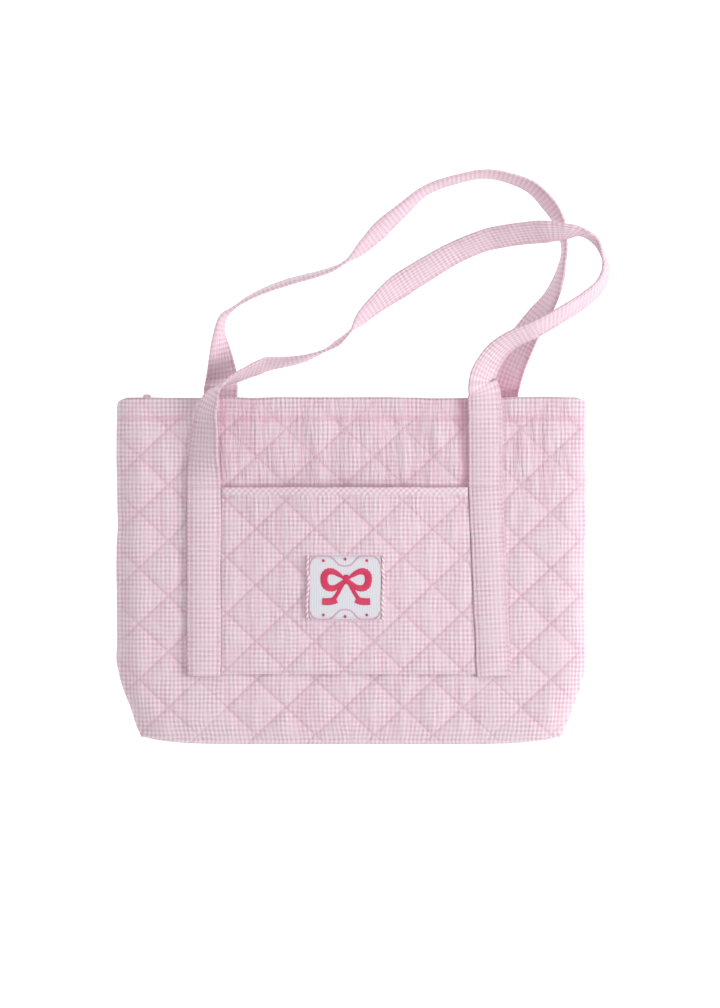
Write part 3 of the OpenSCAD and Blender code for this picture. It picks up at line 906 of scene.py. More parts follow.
@dataclass(frozen=True)
class BagForm:
    """The bag's shape, in millimetres of its own frame.

    X runs across from the middle, Y up from the bottom seam and Z up from the floor. Methods
    take and return arrays, and place() turns points into metres of the row frame.
    """

    home: tuple[float, float]
    width: float
    panel_top: float
    cloth: float = 0.8
    gap: float = 0.05
    seam_z: float = 13.2
    depth_front: float = 20.0
    depth_mouth: float = 13.5
    depth_back: float = 10.5
    roll: float = 30.0
    corner_h: float = 85.0
    corner_in: float = 28.0
    corner_rise: float = 7.0
    strap_w: float = 33.0
    strap_t: float = 2.4
    left_x: float = -143.0
    right_x: float = 130.0
    back_left_x: float = -128.0
    back_right_x: float = 145.0
    right_lean: float = 8.0
    pocket_low: float = 69.0
    pocket_high: float = 250.0
    pocket_roll: float = 14.0
    pocket_gape: float = 8.0
    binding: float = 7.5
    patch: tuple[float, float, float, float] = (-6.0, 153.0, 70.0, 63.0)

    @classmethod
    def from_frame(cls) -> "BagForm":
        """Return the form, placed and sized by the frame's front cloth."""
        low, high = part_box("front_cloth")
        return cls(home_of_bag(), (high.x - low.x) / MM, (high.y - low.y) / MM)

    @property
    def height(self) -> float:
        """Height from the bottom seam to the mouth."""
        return self.panel_top + self.cloth + self.gap

    @property
    def strap_rest(self) -> float:
        """Height of a strap's underside above the front cloth."""
        return self.cloth + 5 * self.gap

    def place(self, points: Array) -> Array:
        """Return points in metres of the row frame."""
        return (points + np.array([*self.home, 0.0])) * MM

    def points(self, x: Array, y: Array, z: Array) -> Array:
        """Return points in metres of the row frame, from their three coordinates here."""
        return self.place(np.stack([x, y, z], -1))

    def half_width(self, y: Array) -> Array:
        """Return half of the bag's width at a height."""
        return self.width / 2 - self.corner_in * np.maximum(1 - y / self.corner_h, 0) ** 1.5

    def top_round(self, y: Array) -> Array:
        """Return how far the sides draw in at the rounded corners beside the mouth."""
        radius = 8.0
        over = np.clip(y - self.panel_top + radius, 0, radius)
        return radius - np.sqrt(np.maximum(radius**2 - over**2, 0))

    def bottom(self, x: Array) -> Array:
        """Return the height of the bottom seam."""
        return self.corner_rise * np.minimum(np.abs(x) / (self.width / 2 - self.corner_in), 1) ** 8

    def fullness(self, x: Array, y: Array) -> Array:
        """Return 0 at a side or bottom seam, rising to 1 over the roll."""
        return round_in(self.half_width(y) - np.abs(x), self.roll) * round_in(y - self.bottom(x), self.roll)

    def skin(self, front: bool, x: Array, y: Array) -> Array:
        """Return how far a panel's outer face stands out from the seam's plane."""
        y = np.minimum(y, self.panel_top)
        thin = (self.depth_front - self.depth_mouth) * ease((y / self.height - 0.45) / 0.55)
        depth = self.depth_front - thin if front else self.depth_back
        return self.cloth + self.fullness(x, y) * (depth - self.cloth)

    def front(self, x: Array, y: Array) -> Array:
        """Return the front panel's outer face."""
        return self.seam_z + self.skin(True, x, y)

    def sag(self, x: Array, y: Array) -> Array:
        """Return how far the cloth near the mouth is shifted up or down."""
        wave = Ripple(74, 26, 40).at(x, 0 * y) * 0.9 - 0.5
        return wave * ease((y - self.panel_top + 26) / 26) * self.fullness(x, y)

    def right_strap(self, y: Array) -> Array:
        """Return the middle of the right front strap."""
        return self.right_x + self.right_lean * (self.pocket_high - y) / (self.pocket_high - self.pocket_low)

    def pocket_sides(self, y: Array) -> tuple[Array, Array]:
        """Return where the pocket meets the left and the right strap."""
        return self.left_x + self.strap_w / 2 + 0 * y, self.right_strap(y) - self.strap_w / 2

    def pocket_span(self, y: float) -> tuple[float, float]:
        """Return the pocket's two sides at one height."""
        low, high = self.pocket_sides(np.array(y))
        return float(low), float(high)

    def pocket_open(self, x: Array, y: Array) -> Array:
        """Return how far the pocket stands off the panel."""
        low, high = self.pocket_sides(y)
        side = np.maximum(np.minimum(x - low, high - x), 0)
        up = np.maximum((y - self.pocket_low) / (self.pocket_high - self.pocket_low), 0)
        lip = (self.cloth + 3 * self.gap) * ease((y - self.pocket_high + self.binding + 12) / 12)
        return self.pocket_gape * ease(side / (high - low) * 2.4) * up + lip * ease(side / 2.5)

    def pocket_fill(self, x: Array, y: Array) -> Array:
        """Return how thick the pocket's lining and wadding are."""
        low, high = self.pocket_sides(y)
        edge = np.minimum(np.minimum(x - low, high - x), y - self.pocket_low)
        return round_in(edge, self.pocket_roll) * (0.8 + 2 + 2 * self.gap)

    def pocket(self, x: Array, y: Array) -> Array:
        """Return the pocket's outer face."""
        return self.front(x, y) + 4 * self.gap + self.pocket_open(x, y) + self.pocket_fill(x, y) + self.cloth


@dataclass(frozen=True)
class Softness:
    """Relief of quilted cloth: pillows between the lines, puckers at them and wrinkles across.

    Attributes:
        quilting: where the lines run.
        valley: depth of a line below the pillows.
        pucker: height of the small gathers along the lines.
        wrinkle: height of the folds that run up the cloth.
        seed: start of its noise.
    """

    quilting: Quilting
    valley: float
    pucker: float
    wrinkle: float
    seed: int

    def at(self, x: Array, y: Array) -> tuple[Array, Array]:
        """Return the relief, in millimetres, and painted shade at lines and folds, from 0 to 1."""
        first, second = self.quilting.turned(x, y)
        near = np.minimum(first[0], second[0])
        reach = self.quilting.apart / 2
        pillow = -self.valley * np.clip(1 - near / reach, 0, 1) ** 1.7
        gathers = 0.0
        for k, (away, along) in enumerate((first, second)):
            made = Ripple(self.seed + k, 3.4, 16.0).at(along, away)
            gathers = gathers + made * np.exp(-away / 6.0)
        folds = Ripple(self.seed + 5, 4.2, 30.0).at(x + 0.1 * y, y) * 0.6
        folds = folds + Ripple(self.seed + 6, 7.5, 46.0).at(x - 0.07 * y, y) * 0.75
        folds = folds + Ripple(self.seed + 7, 13.0, 16.0).at(x, y) * 0.45
        away = ease(near / 7.0)
        relief = pillow + self.pucker * gathers + self.wrinkle * folds * (0.4 + 0.6 * away)
        # Painted shade: darker near the quilting lines and in the valleys of the folds.
        painted_shade = np.clip(np.exp(-near / 3.0) * 0.16 + np.maximum(-folds, 0) * 0.14 * away, 0, 1)
        return relief, painted_shade


@dataclass
class Panel:
    """One side of the bag: outer cloth, wadding and lining.

    Attributes:
        form: the bag's form.
        front: whether it is the front.
        soft: its relief.
    """

    form: BagForm
    front: bool
    soft: Softness

    @property
    def name(self) -> str:
        """Which side it is."""
        return "front" if self.front else "back"

    def grid(self, step: float, inset: float) -> tuple[Array, Array]:
        """Return the x and y of a grid over the panel, denser where the edge rolls."""
        f = self.form
        across = spread(0.0, 1.0, f.roll / (f.width / 2), step / (f.width / 2))
        up = spread(0.0, 1.0, f.roll / f.panel_top, step / f.panel_top)
        up = up[up < 0.0] / 2 + 0.5
        up = np.concatenate([up, np.linspace(0.5, 1.0, int(f.panel_top / 2 / step))])
        s, t = np.meshgrid(across, up)
        y = t * f.panel_top
        for _ in range(6):
            x = s * (f.half_width(y) - f.top_round(y) - inset)
            low = f.bottom(x) + inset
            y = low + t * (f.panel_top - low)
        return x, y

    def relief(self, x: Array, y: Array) -> tuple[Array, Array]:
        """Return the panel's relief and painted shade at each point."""
        f = self.form
        relief, painted_shade = self.soft.at(x, y)
        calm = f.fullness(x, y) ** 0.7
        limp = ease((y - 200) / 90) * ease((x + 190) / 60)
        fine = Ripple(self.soft.seed + 9, 5.2, 38.0).at(x + 0.05 * y, y) * self.soft.wrinkle * 1.1
        broad = Ripple(self.soft.seed + 12, 17.0, 62.0).at(x - 0.04 * y, y) * 1.1
        relief = relief + (fine + broad) * limp
        if self.front:
            for middle in (f.left_x + 0 * y, f.right_strap(y)):
                off = np.abs(x - middle) - f.strap_w / 2
                calm = calm * (0.3 + 0.7 * ease((off + 3) / 9))
            low, high = f.pocket_sides(y)
            under = ease((np.minimum(np.minimum(x - low, high - x), y - f.pocket_low) + 2) / 10)
            under = under * ease((f.pocket_high - 6 - y) / 8)
            relief = relief * (1 - 0.75 * under) - 0.5 * under
            # Painted shadow on the panel: a strip beside each strap above the pocket, and a line just above
            # the binding.
            beside = f.right_strap(y) - f.strap_w / 2 - x
            upper = ease((y - f.pocket_high) / 6)
            painted_shade = painted_shade + 0.6 * np.exp(-((np.maximum(beside, 0) / 6.0) ** 2)) * (beside > -3) * upper
            beside = x - f.left_x - f.strap_w / 2
            painted_shade = painted_shade + 0.4 * np.exp(-((np.maximum(beside, 0) / 3.0) ** 2)) * (beside > -3) * upper
            inside = ease((x - f.left_x) / 4) * ease((f.right_strap(y) - x) / 4)
            painted_shade = painted_shade + 0.45 * np.exp(-(((y - f.pocket_high - 0.8) / 1.6) ** 2)) * inside
        # Painted shade along the hem line, which is also a groove in the relief.
        hem = np.exp(-(((f.height - HEM_DROP - y) / 1.5) ** 2))
        painted_shade = painted_shade + 0.3 * hem
        relief = relief * (1 - 0.55 * self.hemmed(y)) - 0.9 * hem
        return relief * calm, painted_shade * calm

    def hemmed(self, y: Array) -> Array:
        """Return 0 below the line that holds the facing and 1 above it."""
        return ease((y - (self.form.height - CALM_DROP)) / 4)

    def limpness(self, x: Array, y: Array) -> Array:
        """Return how wrinkled the cloth is at each point, from 0 to 1."""
        f = self.form
        upper = ease((y - 215) / 60) * ease((x + 175) / 50)
        return (0.22 + 0.6 * upper) * f.fullness(x, y) ** 0.5

    def cloth_grid(self, step: float, inset: float, out: float, thick: float, share: float) -> Mesh:
        """Return a ply.

        Args:
            step: spacing of its points.
            inset: how far it stays inside the seams.
            out: how far its outer face lies under the panel's.
            thick: its thickness.
            share: how much of the relief it follows on its inner face.
        """
        f = self.form
        x, y = self.grid(step, inset)
        relief, painted_shade = self.relief(x, y)
        skin = f.skin(self.front, x, y)
        outer = np.maximum(skin + relief - out, 0.12 + 0.1 * (thick < 1))
        inner = np.maximum(np.minimum(skin + relief * share - out - thick, outer - 0.25), 0.02)
        sign = 1 if self.front else -1
        drift = 0.6 * np.stack([Ripple(71, 9, 14).at(x, y), Ripple(72, 12, 9).at(x, y)], -1)
        bulge = skin * 0.55 * (1 - f.fullness(x, y)) * np.sign(x)
        uv = (np.stack([x + bulge, y], -1) + drift) * MM
        if not self.front:
            uv[..., 0] *= -1
        wobble = Ripple(73, 22, 22).at(x, y) * 1.1 * (1 - f.fullness(x, y)) * ease(f.panel_top - y)
        sag = f.sag(x, y)
        top = np.stack([x + wobble, y + sag, f.seam_z + sign * outer], -1)
        bottom = np.stack([x + wobble, y + sag, f.seam_z + sign * inner], -1)
        if not self.front:
            top, bottom = bottom, top
        made = shell(f.place(top), f.place(bottom), uv, painted_shade, self.limpness(x, y))
        made.hem = np.concatenate([self.hemmed(y).ravel()] * 2)
        return made

    def build(self) -> list[bpy.types.Object]:
        """Build the plies and let them ride on the bag."""
        f = self.form
        flat = (f.width * MM, f.height * MM)
        outer = self.cloth_grid(2.2 if self.front else 2.6, 0.0, 0.0, f.cloth, 1.0)
        cloth = outer.to_object(self.name + "_quilted_cloth", Finish.QUILT)
        declare(cloth, "bag", [self.name + "_cloth"])
        middle = self.cloth_grid(5.0, 2.2, f.cloth + f.gap, 2.6, 0.0)
        filling = middle.to_object(self.name + "_wadding", Finish.WADDING)
        declare(filling, "bag", [self.name + "_batting"])
        inner = self.cloth_grid(5.0, 2.4, f.cloth + 2.6 + 3 * f.gap, 0.8, 0.0)
        lining = inner.to_object(self.name + "_lining_cloth", Finish.LINING)
        declare(lining, "bag", [self.name + "_lining"])
        return [cloth, filling, lining]

    def face(self, x: Array, y: Array, lift: float) -> Array:
        """Return points on the outer cloth, raised by lift."""
        f = self.form
        sign = 1 if self.front else -1
        relief, _ = self.relief(x, y)
        return f.points(x, y, f.seam_z + sign * (f.skin(self.front, x, y) + relief + lift))

    def open_to_view(self, x: Array, y: Array) -> Array:
        """Return where quilting stitches show: inside the seams, and not under pocket or straps."""
        f = self.form
        seen = (f.half_width(y) - np.abs(x) > 5) & (y - f.bottom(x) > 5)
        if self.front:
            low, high = f.pocket_sides(y)
            seen &= ~((x > low) & (x < high) & (y > f.pocket_low) & (y < f.pocket_high))
            for middle in (f.left_x + 0 * y, f.right_strap(y)):
                seen &= np.abs(x - middle) >= f.strap_w / 2
        return seen

    def stitch_lines(self) -> list[Array]:
        """Return the lines of quilting and hem stitches that show."""
        f = self.form
        out = []
        for line in self.soft.quilting.lines((-f.width / 2, 0), (f.width / 2, f.height - CALM_DROP), 1.0):
            seen = self.open_to_view(*line.T)
            out.extend(self.face(*line[run].T, 0.38) for run in runs_of(seen))
        half = f.width / 2 - 9
        x = np.linspace(-half, half, 300)
        out.append(self.face(x, f.height - HEM_DROP + 0 * x, 0.5))
        return out

    def dress(self) -> bpy.types.Object:
        """Run stitches along the quilting lines and the hem."""
        name = self.name + "_quilting_stitches"
        made = REPEAT.along(name, self.stitch_lines(), REPEAT.beads(), Finish.SEAM_THREAD, STITCH)
        declare(made, "bag", [])
        return made


# --------------------------------------------------------------------------- pocket


@dataclass
class Pocket:
    """The quilted pocket between the front straps, with its bias binding."""

    form: BagForm
    soft: Softness

    def relief(self, x: Array, y: Array) -> tuple[Array, Array]:
        """Return the pocket's relief and painted shade."""
        f = self.form
        relief, painted_shade = self.soft.at(x, y)
        low, high = f.pocket_sides(y)
        edge = np.minimum(np.minimum(x - low, high - x), np.minimum(y - f.pocket_low, f.pocket_high - 5 - y))
        calm = round_in(edge, f.pocket_roll) ** 0.7
        px, py, pw, ph = f.patch
        off = np.maximum(np.abs(x - px) - pw / 2, np.abs(y - py) - ph / 2)
        calm = calm * ease((off + 1) / 8)
        return relief * calm, painted_shade * calm

    def face(self, x: Array, y: Array, lift: float) -> Array:
        """Return points on the pocket's cloth, raised by lift, in millimetres of the bag's frame."""
        relief, _ = self.relief(x, y)
        return np.stack([x, y, self.form.pocket(x, y) + relief + lift], -1)

    def ply(self, step: float, drop: float, thick: float, inset: float, follow: float) -> Mesh:
        """Return one of the pocket's plies.

        Args:
            step: spacing of its points.
            drop: how far its upper face lies under the pocket's outer face.
            thick: its thickness.
            inset: how far it stays inside the pocket's edges.
            follow: how much of the relief it follows on its lower face.
        """
        f = self.form
        s = (spread(0.0, 1.0, 14 / 120, step / 120) + 1) / 2
        turn = np.linspace(0, math.pi / 2, int(f.pocket_roll * 1.25 / step) + 4)
        rise = f.pocket_roll * (1 - np.cos(turn[:-1]))
        rows = np.concatenate([rise, np.arange(f.pocket_roll, f.pocket_high - f.pocket_low - 0.4, step)])
        y = np.broadcast_to((f.pocket_low + inset + rows)[:, None], (len(rows), len(s)))
        low, high = f.pocket_sides(y)
        x = low + inset + s * (high - low - 2 * inset)
        base = f.front(x, y) + 4 * f.gap + f.pocket_open(x, y)
        relief, painted_shade = self.relief(x, y)
        fill = f.pocket_fill(x, y)
        top = np.maximum(base + fill + f.cloth + relief - drop, base + 0.3)
        low_z = np.maximum(base + fill + f.cloth + relief * follow - drop - thick, base)
        low_z = np.minimum(low_z, top - 0.2)
        drift = 0.6 * np.stack([Ripple(81, 9, 14).at(x, y), Ripple(82, 12, 9).at(x, y)], -1)
        uv = (np.stack([x, y], -1) + drift) * MM
        upper = ease((y - 190) / 50) * 0.35 + 0.3
        return shell(f.points(x, y, top), f.points(x, y, low_z), uv, painted_shade, upper)

    def binding(self) -> Mesh:
        """Return the bias binding folded over the pocket's top edge."""
        f = self.form
        y_top = f.pocket_high
        low, high = f.pocket_span(y_top)
        x = np.arange(low + 0.4, high - 0.4, 1.2)
        turn = np.linspace(0, math.tau, 33)[:-1]
        wave = Ripple(91, 10, 10)
        rings, uvs = [], []
        for at in x:
            here = np.array([at])
            face = float(f.pocket(here, np.array([y_top - 4]))[0])
            behind = np.array([y_top - 4])
            under = float((f.front(here, behind) + 4 * f.gap + f.pocket_open(here, behind))[0])
            mid = (face + under) / 2 + 0.1
            half_z = (face - under) / 2 + 0.75 + 0.18 * float(wave.at(here, 0 * here)[0])
            half_y = f.binding / 2 + 0.35
            across = np.sign(np.sin(turn)) * np.abs(np.sin(turn)) ** 0.62 * half_z
            up = np.sign(np.cos(turn)) * np.abs(np.cos(turn)) ** 0.8 * half_y
            yy = y_top - f.binding / 2 + up + 0.25 * float(wave.at(here, 0 * here + 9)[0])
            rings.append(np.stack([0 * turn + at, yy, mid + across], -1))
            run = np.cumsum(np.hypot(np.diff(up, append=up[0]), np.diff(across, append=across[0])))
            uvs.append(np.stack([0 * turn + at, run], -1) * MM)
        return loft(f.place(np.array(rings)), np.array(uvs))

    def build(self) -> None:
        """Build the pocket's three plies and its binding."""
        f = self.form
        low, high = f.pocket_span(160.0)
        behind_wadding = f.cloth + 2.0 + 2 * f.gap
        plies = (
            ("pocket_quilted_cloth", "pocket_cloth", Finish.POCKET_QUILT, 1.4, 0.0, f.cloth, 0.0, 1.0),
            ("pocket_wadding", "pocket_batting", Finish.WADDING, 5.0, f.cloth + f.gap, 2.0, 1.5, 0.0),
            ("pocket_lining_cloth", "pocket_lining", Finish.LINING, 5.0, behind_wadding, 0.8, 1.5, 0.0),
        )
        for name, node, finish, step, drop, thick, inset, follow in plies:
            piece = self.ply(step, drop, thick, inset, follow).to_object(name, finish)
            declare(piece, "bag", [node])
        band = self.binding().to_object("pocket_bias_binding", Finish.BIAS)
        declare(band, "bag", ["pocket_binding"])

    def dress(self) -> None:
        """Run the pocket's stitches."""
        f = self.form
        low, high = f.pocket_span(160.0)
        lines = []
        for line in self.soft.quilting.lines((low - 5, f.pocket_low + 3), (high + 8, f.pocket_high - 9), 1.0):
            x, y = line.T
            a, b = f.pocket_sides(y)
            px, py, pw, ph = f.patch
            off_patch = (np.abs(x - px) > pw / 2 + 1.5) | (np.abs(y - py) > ph / 2 + 1)
            keep = (x > a + 2) & (x < b - 2) & off_patch
            lines.extend(f.place(self.face(x[run], y[run], 0.34)) for run in runs_of(keep))
        x = np.linspace(low + 1, f.pocket_span(f.pocket_low)[1] - 1, 240)
        lines.append(f.place(self.face(x, f.pocket_low + 2.2 + 0 * x, 0.3)))
        name = "pocket_quilting_stitches"
        made = REPEAT.along(name, lines, REPEAT.beads(), Finish.SEAM_THREAD, STITCH)
        declare(made, "bag", [])


# --------------------------------------------------------------------------- straps


@dataclass(frozen=True)
class Webbing:
    """The section of a folded, topstitched strap.

    Attributes:
        width: its width.
        thick: its thickness.
        stitch_in: how far the topstitching lies from each edge.
    """

    width: float
    thick: float
    stitch_in: float = 2.9

    def half_thickness(self, w: Array) -> Array:
        """Return half of its thickness at a distance w from its middle."""
        edge = self.width / 2 - np.abs(w)
        puff = 0.12 * (1 - (2 * w / self.width) ** 2)
        groove = 0.42 * np.exp(-(((edge - self.stitch_in) / 0.75) ** 2))
        return round_in(edge, 1.15) * (self.thick / 2 + puff - groove) + 0.02

    def stations(self) -> Array:
        """Return places across it, denser at the edges and the stitching."""
        s = self.stitch_in
        rim = [0, 0.06, 0.2, 0.42, 0.72, 1.15, 1.7]
        stitching = [s - 0.7, s - 0.35, s, s + 0.35, s + 0.8]
        left = -self.width / 2 + np.array([*rim, *stitching, 5, 7, 9.5, 12.2, 14.5])
        return np.concatenate([left, [0.0], -left[::-1]])

    def sweep(self, centre: Array, right: Array, up: Array, run: Array, shade: Array, seed: int) -> Mesh:
        """Return the strap along a line.

        Args:
            centre: points along its middle.
            right: unit width direction at each.
            up: unit thickness direction at each.
            run: how far along the whole strap each point is.
            shade: how much painted shade each point carries, from 0 to 1.
            seed: start of its small waviness.
        """
        w = self.stations()
        ring_w = np.concatenate([w, w[1:-1][::-1]])
        side = np.concatenate([np.ones(len(w)), -np.ones(len(w) - 2)])
        rr, ww = np.meshgrid(run, ring_w, indexing="ij")
        near = np.exp(-(((self.width / 2 - np.abs(ww) - self.stitch_in) / 2.0) ** 2))
        pucker = Ripple(seed, 2.9, 9).at(rr, ww + 60 * side) * (near * 0.26 + 0.1)
        soft = Ripple(seed + 1, 11, 15).at(rr, ww + 60 * side) * 0.34 * (self.half_thickness(ww) > 0.5)
        n = side * (self.half_thickness(ww) + (pucker + soft) * ease((self.width / 2 - np.abs(ww)) / 1.5))
        wavy = Ripple(seed + 2, 17, 10).at(rr, np.sign(ww) * 30) * 0.3 * np.abs(ww) / (self.width / 2)
        wide = (ww + np.sign(ww) * wavy)[..., None]
        rings = centre[:, None] + right[:, None] * wide + up[:, None] * n[..., None]
        uv = np.stack([ww + self.width / 2, rr], -1) * MM
        # Painted shade along the groove of the topstitching.
        painted_shade = np.exp(-(((self.width / 2 - np.abs(ww) - self.stitch_in) / 0.6) ** 2)) * 0.3
        mesh = loft(rings, uv, painted_shade + shade[:, None])
        mesh.limp = (0.34 + 0.3 * near).ravel()
        return mesh

    def stitching(self, centre: Array, right: Array, up: Array, sides: Sequence[int]) -> list[Array]:
        """Return the lines of topstitching along it.

        Args:
            centre: points along its middle.
            right: unit width direction at each.
            up: unit thickness direction at each.
            sides: 1 for the upper face and -1 for the lower.
        """
        w = self.width / 2 - self.stitch_in
        depth = float(self.half_thickness(np.array([w]))[0]) + 0.12
        return [centre + right * w * edge + up * depth * side for edge in (-1, 1) for side in sides]


@dataclass
class Strap:
    """One whole strap: sewn up a panel, free above it as a handle, and sewn down again.

    Attributes:
        form: the bag's form.
        webbing: its section.
        side: "front" or "back".
        stations: rows of x, y, tilt in degrees and height of the lower edge, for the free loop.
        left: gives the middle of the left sewn run at a height.
        right: gives the middle of the right sewn run at a height.
        seed: start of its small waviness.
    """

    form: BagForm
    webbing: Webbing
    side: str
    stations: Array
    left: Callable[[Array], Array]
    right: Callable[[Array], Array]
    seed: int

    def sewn(self, middle: Callable[[Array], Array]) -> Array:
        """Return the centre line and tilt of a sewn run, from its foot upwards."""
        f = self.form
        y = np.linspace(f.pocket_low - 2, f.pocket_high, 240)
        x = middle(y)
        base = f.front(x, y) + f.strap_rest if self.side == "front" else 0 * y
        return evenly(np.column_stack([x, y, base + f.strap_t / 2, 0 * y]), 1.5)

    def loop(self) -> Array:
        """Return the centre line and tilt of the free loop."""
        f = self.form
        fine = curve_through(self.stations[:, :2], 24)
        steps = np.arange(len(self.stations))
        at = np.linspace(0, steps[-1], len(fine))
        rest = np.stack([np.interp(at, steps, self.stations[:, k]) for k in (2, 3)], -1)
        kernel = np.hanning(15)
        kernel /= kernel.sum()
        padded = np.pad(rest, ((7, 7), (0, 0)), mode="edge")
        rest = np.stack([np.convolve(padded[:, k], kernel, mode="valid") for k in range(2)], -1)
        rest[0], rest[-1] = self.stations[0, 2:], self.stations[-1, 2:]
        tilt = np.radians(rest[:, 0])
        z = rest[:, 1] + f.strap_w / 2 * np.abs(np.sin(tilt)) + f.strap_t / 2 * np.abs(np.cos(tilt))
        return evenly(np.column_stack([fine, z, tilt]), 1.5)

    def frame(self, line: Array) -> tuple[Array, Array, Array]:
        """Return the centre line with its unit width and thickness directions."""
        centre, tilt = line[:, :3], line[:, 3]
        along = unit(np.gradient(centre, axis=0))
        level = unit(np.column_stack([-along[:, 1], along[:, 0], 0 * along[:, 0]]))
        left = np.cos(tilt)[:, None] * level + np.sin(tilt)[:, None] * np.array([0.0, 0.0, 1.0])
        left = unit(left - along * (left * along).sum(1, keepdims=True))
        return centre, -left, np.cross(-left, along)

    def shade(self, centre: Array) -> Array:
        """Return how much painted shade the strap carries, as the back one does under the front one."""
        f = self.form
        if self.side == "front":
            return np.zeros(len(centre))
        # Painted shade, fixed in the colour: near the mouth, on the right.
        over = np.clip(1 - np.abs(centre[:, 1] - f.height - 5) / 75, 0, 1)
        return 0.42 * over * ease((centre[:, 0] - 60) / 30)

    def build(self) -> None:
        """Build the two sewn runs and the loop between them, with their topstitching."""
        f = self.form
        parts = [self.sewn(self.left), self.loop(), self.sewn(self.right)[::-1]]
        centre, right, up = self.frame(np.vstack([parts[0], parts[1][1:], parts[2][1:]]))
        run = np.concatenate([[0], np.cumsum(np.linalg.norm(np.diff(centre, axis=0), axis=1))])
        first = len(parts[0])
        second = first + len(parts[1]) - 1
        end = len(run)
        out = 1 if self.side == "front" else -1
        for ending, of_frame, body, held, low, high in (
            ("left_sewn_strap", "strap_left", "bag", "stretched", 0, first),
            ("loop", "handle", f"{self.side}_handle", "laid", first - 1, second),
            ("right_sewn_strap", "strap_right", "bag", "stretched", second - 1, end),
        ):
            name, node = f"{self.side}_{ending}", f"{self.side}_{of_frame}"
            part = slice(low, high)
            shade = self.shade(centre[part])
            mesh = self.webbing.sweep(centre[part], right[part], up[part], run[part], shade, self.seed)
            mesh.points = f.place(mesh.points)
            piece = mesh.to_object(name, Finish.STRAP)
            declare(piece, body, [node])
            faces = [1, -1] if held == "laid" else [out]
            lines = self.webbing.stitching(centre[part], right[part], up[part], faces)
            if held == "stretched":
                foot = low + 2 if low == 0 else high - 3
                across = np.linspace(-13.4, 13.4, 12)[:, None]
                lines.append(centre[foot] + right[foot] * across + up[foot] * out * 1.25)
            lines = [f.place(v) for v in lines]
            made = REPEAT.along(name + "_topstitching", lines, REPEAT.beads(), Finish.SEAM_THREAD, STITCH)
            declare(made, body, [])


def upright(x: float) -> Callable[[Array], Array]:
    """Return the middle line of a sewn run that goes straight up at x."""
    return lambda y: x + 0 * y


def front_route(f: BagForm) -> Array:
    """Return the front handle's stations: x, y, tilt and the height of its lower edge."""

    def leg(x: float, share: float, tilt: float) -> list[float]:
        """Return a station on the panel, share of the way from the pocket's top to the mouth."""
        y = f.pocket_high + share * (f.height - f.pocket_high)
        lift = float(f.front(np.array(x), np.array(y))) + f.strap_rest + (0.1 if share > 0 else 0)
        return [x, y, tilt, lift]

    def loop(x: float, past: float, tilt: float, lift: float) -> list[float]:
        """Return a station past the mouth."""
        return [x, f.height + past, tilt, lift]

    mouth = float(f.front(np.array(0.0), np.array(f.height)))
    edge, slope = f.strap_w + 2.5, f.strap_w * 0.84
    rows = [leg(f.left_x, 0, 0), leg(f.left_x, 0.31, -28), leg(-142, 0.58, -38), leg(-140.5, 0.81, -49)]
    rows += [leg(-136, 0.97, -60), loop(-130, 8, -80, mouth), loop(-120, 15, -95, mouth - 5)]
    rows += [loop(-103.5, 23, -104, mouth - 14), loop(-84, 31, -110, 5), loop(-65, 34, -103, 0)]
    rows += [loop(-45, 38, -96, 0), loop(-26, 45.5, -88, 0), loop(-13, 53, -80, 0), loop(-0.5, 65, -88, 0)]
    rows += [loop(10, 77.5, -108, 0), loop(28, 94, -121, 0), loop(47, 108.5, -134, 0)]
    rows += [loop(71.5, 124, -132, 0), loop(100.5, 140.5, -127, 3), loop(130, 152, -124, 11)]
    rows += [loop(159, 157, -124, 23), loop(188, 159, -123, edge), loop(207.5, 158.5, -112, edge + 1)]
    rows += [loop(224, 156, -98, 29), loop(236, 148, -86, 14), loop(245, 134.5, -79, 3)]
    rows += [loop(247, 121, -76, 0), loop(240.5, 107, -72, 3), loop(226, 94, -70, 11)]
    rows += [loop(204.5, 80, -68, 21), loop(181, 66.5, -64, slope), loop(157, 56, -62, 24)]
    rows += [loop(141.5, 44, -52, 22), loop(131, 28.5, -43, 23), loop(126.5, 14, -40, mouth)]
    rows += [leg(129, 1, -10), leg(130, 0.53, 0), leg(f.right_x, 0, 0)]
    return np.array(rows)


def back_route(f: BagForm) -> Array:
    """Return the back handle's stations: x, y, tilt and the height of its lower edge."""
    left, right = f.back_left_x, f.back_right_x
    middle = (f.pocket_high + f.height) / 2 - f.height
    loose = [(left, 1, 0), (-127.3, 12, 15), (-127, 24.5, 32), (-128, 46, 57), (-128.5, 62.5, 76)]
    loose += [(-125, 77, 82), (-117, 85, 90), (-103.5, 94.5, 97), (-84, 104, 100), (-60, 112.5, 102)]
    loose += [(-35.5, 119, 100), (-16, 126, 97), (-2.5, 134, 90), (10, 145, 74), (28, 163, 63)]
    loose += [(47, 180, 70), (71.5, 200.5, 80), (100.5, 211.5, 81), (130, 217, 82), (154, 213, 79)]
    loose += [(175.5, 204, 75), (193, 186.5, 71), (203, 168.5, 77), (207, 148, 86), (205.5, 131.5, 84)]
    loose += [(201, 114, 75), (193, 95.5, 66), (181, 78, 52), (167, 56, 38), (155, 31.5, 22)]
    loose += [(149, 15, 8), (right + 1, 1, 0)]
    low = f.pocket_high - f.height
    rows = [(left, low, 0), (left, middle, 0), *loose, (right, middle, 0), (right, low, 0)]
    return np.array([[x, f.height + past, tilt, 0.0] for x, past, tilt in rows])


# --------------------------------------------------------------------------- patch


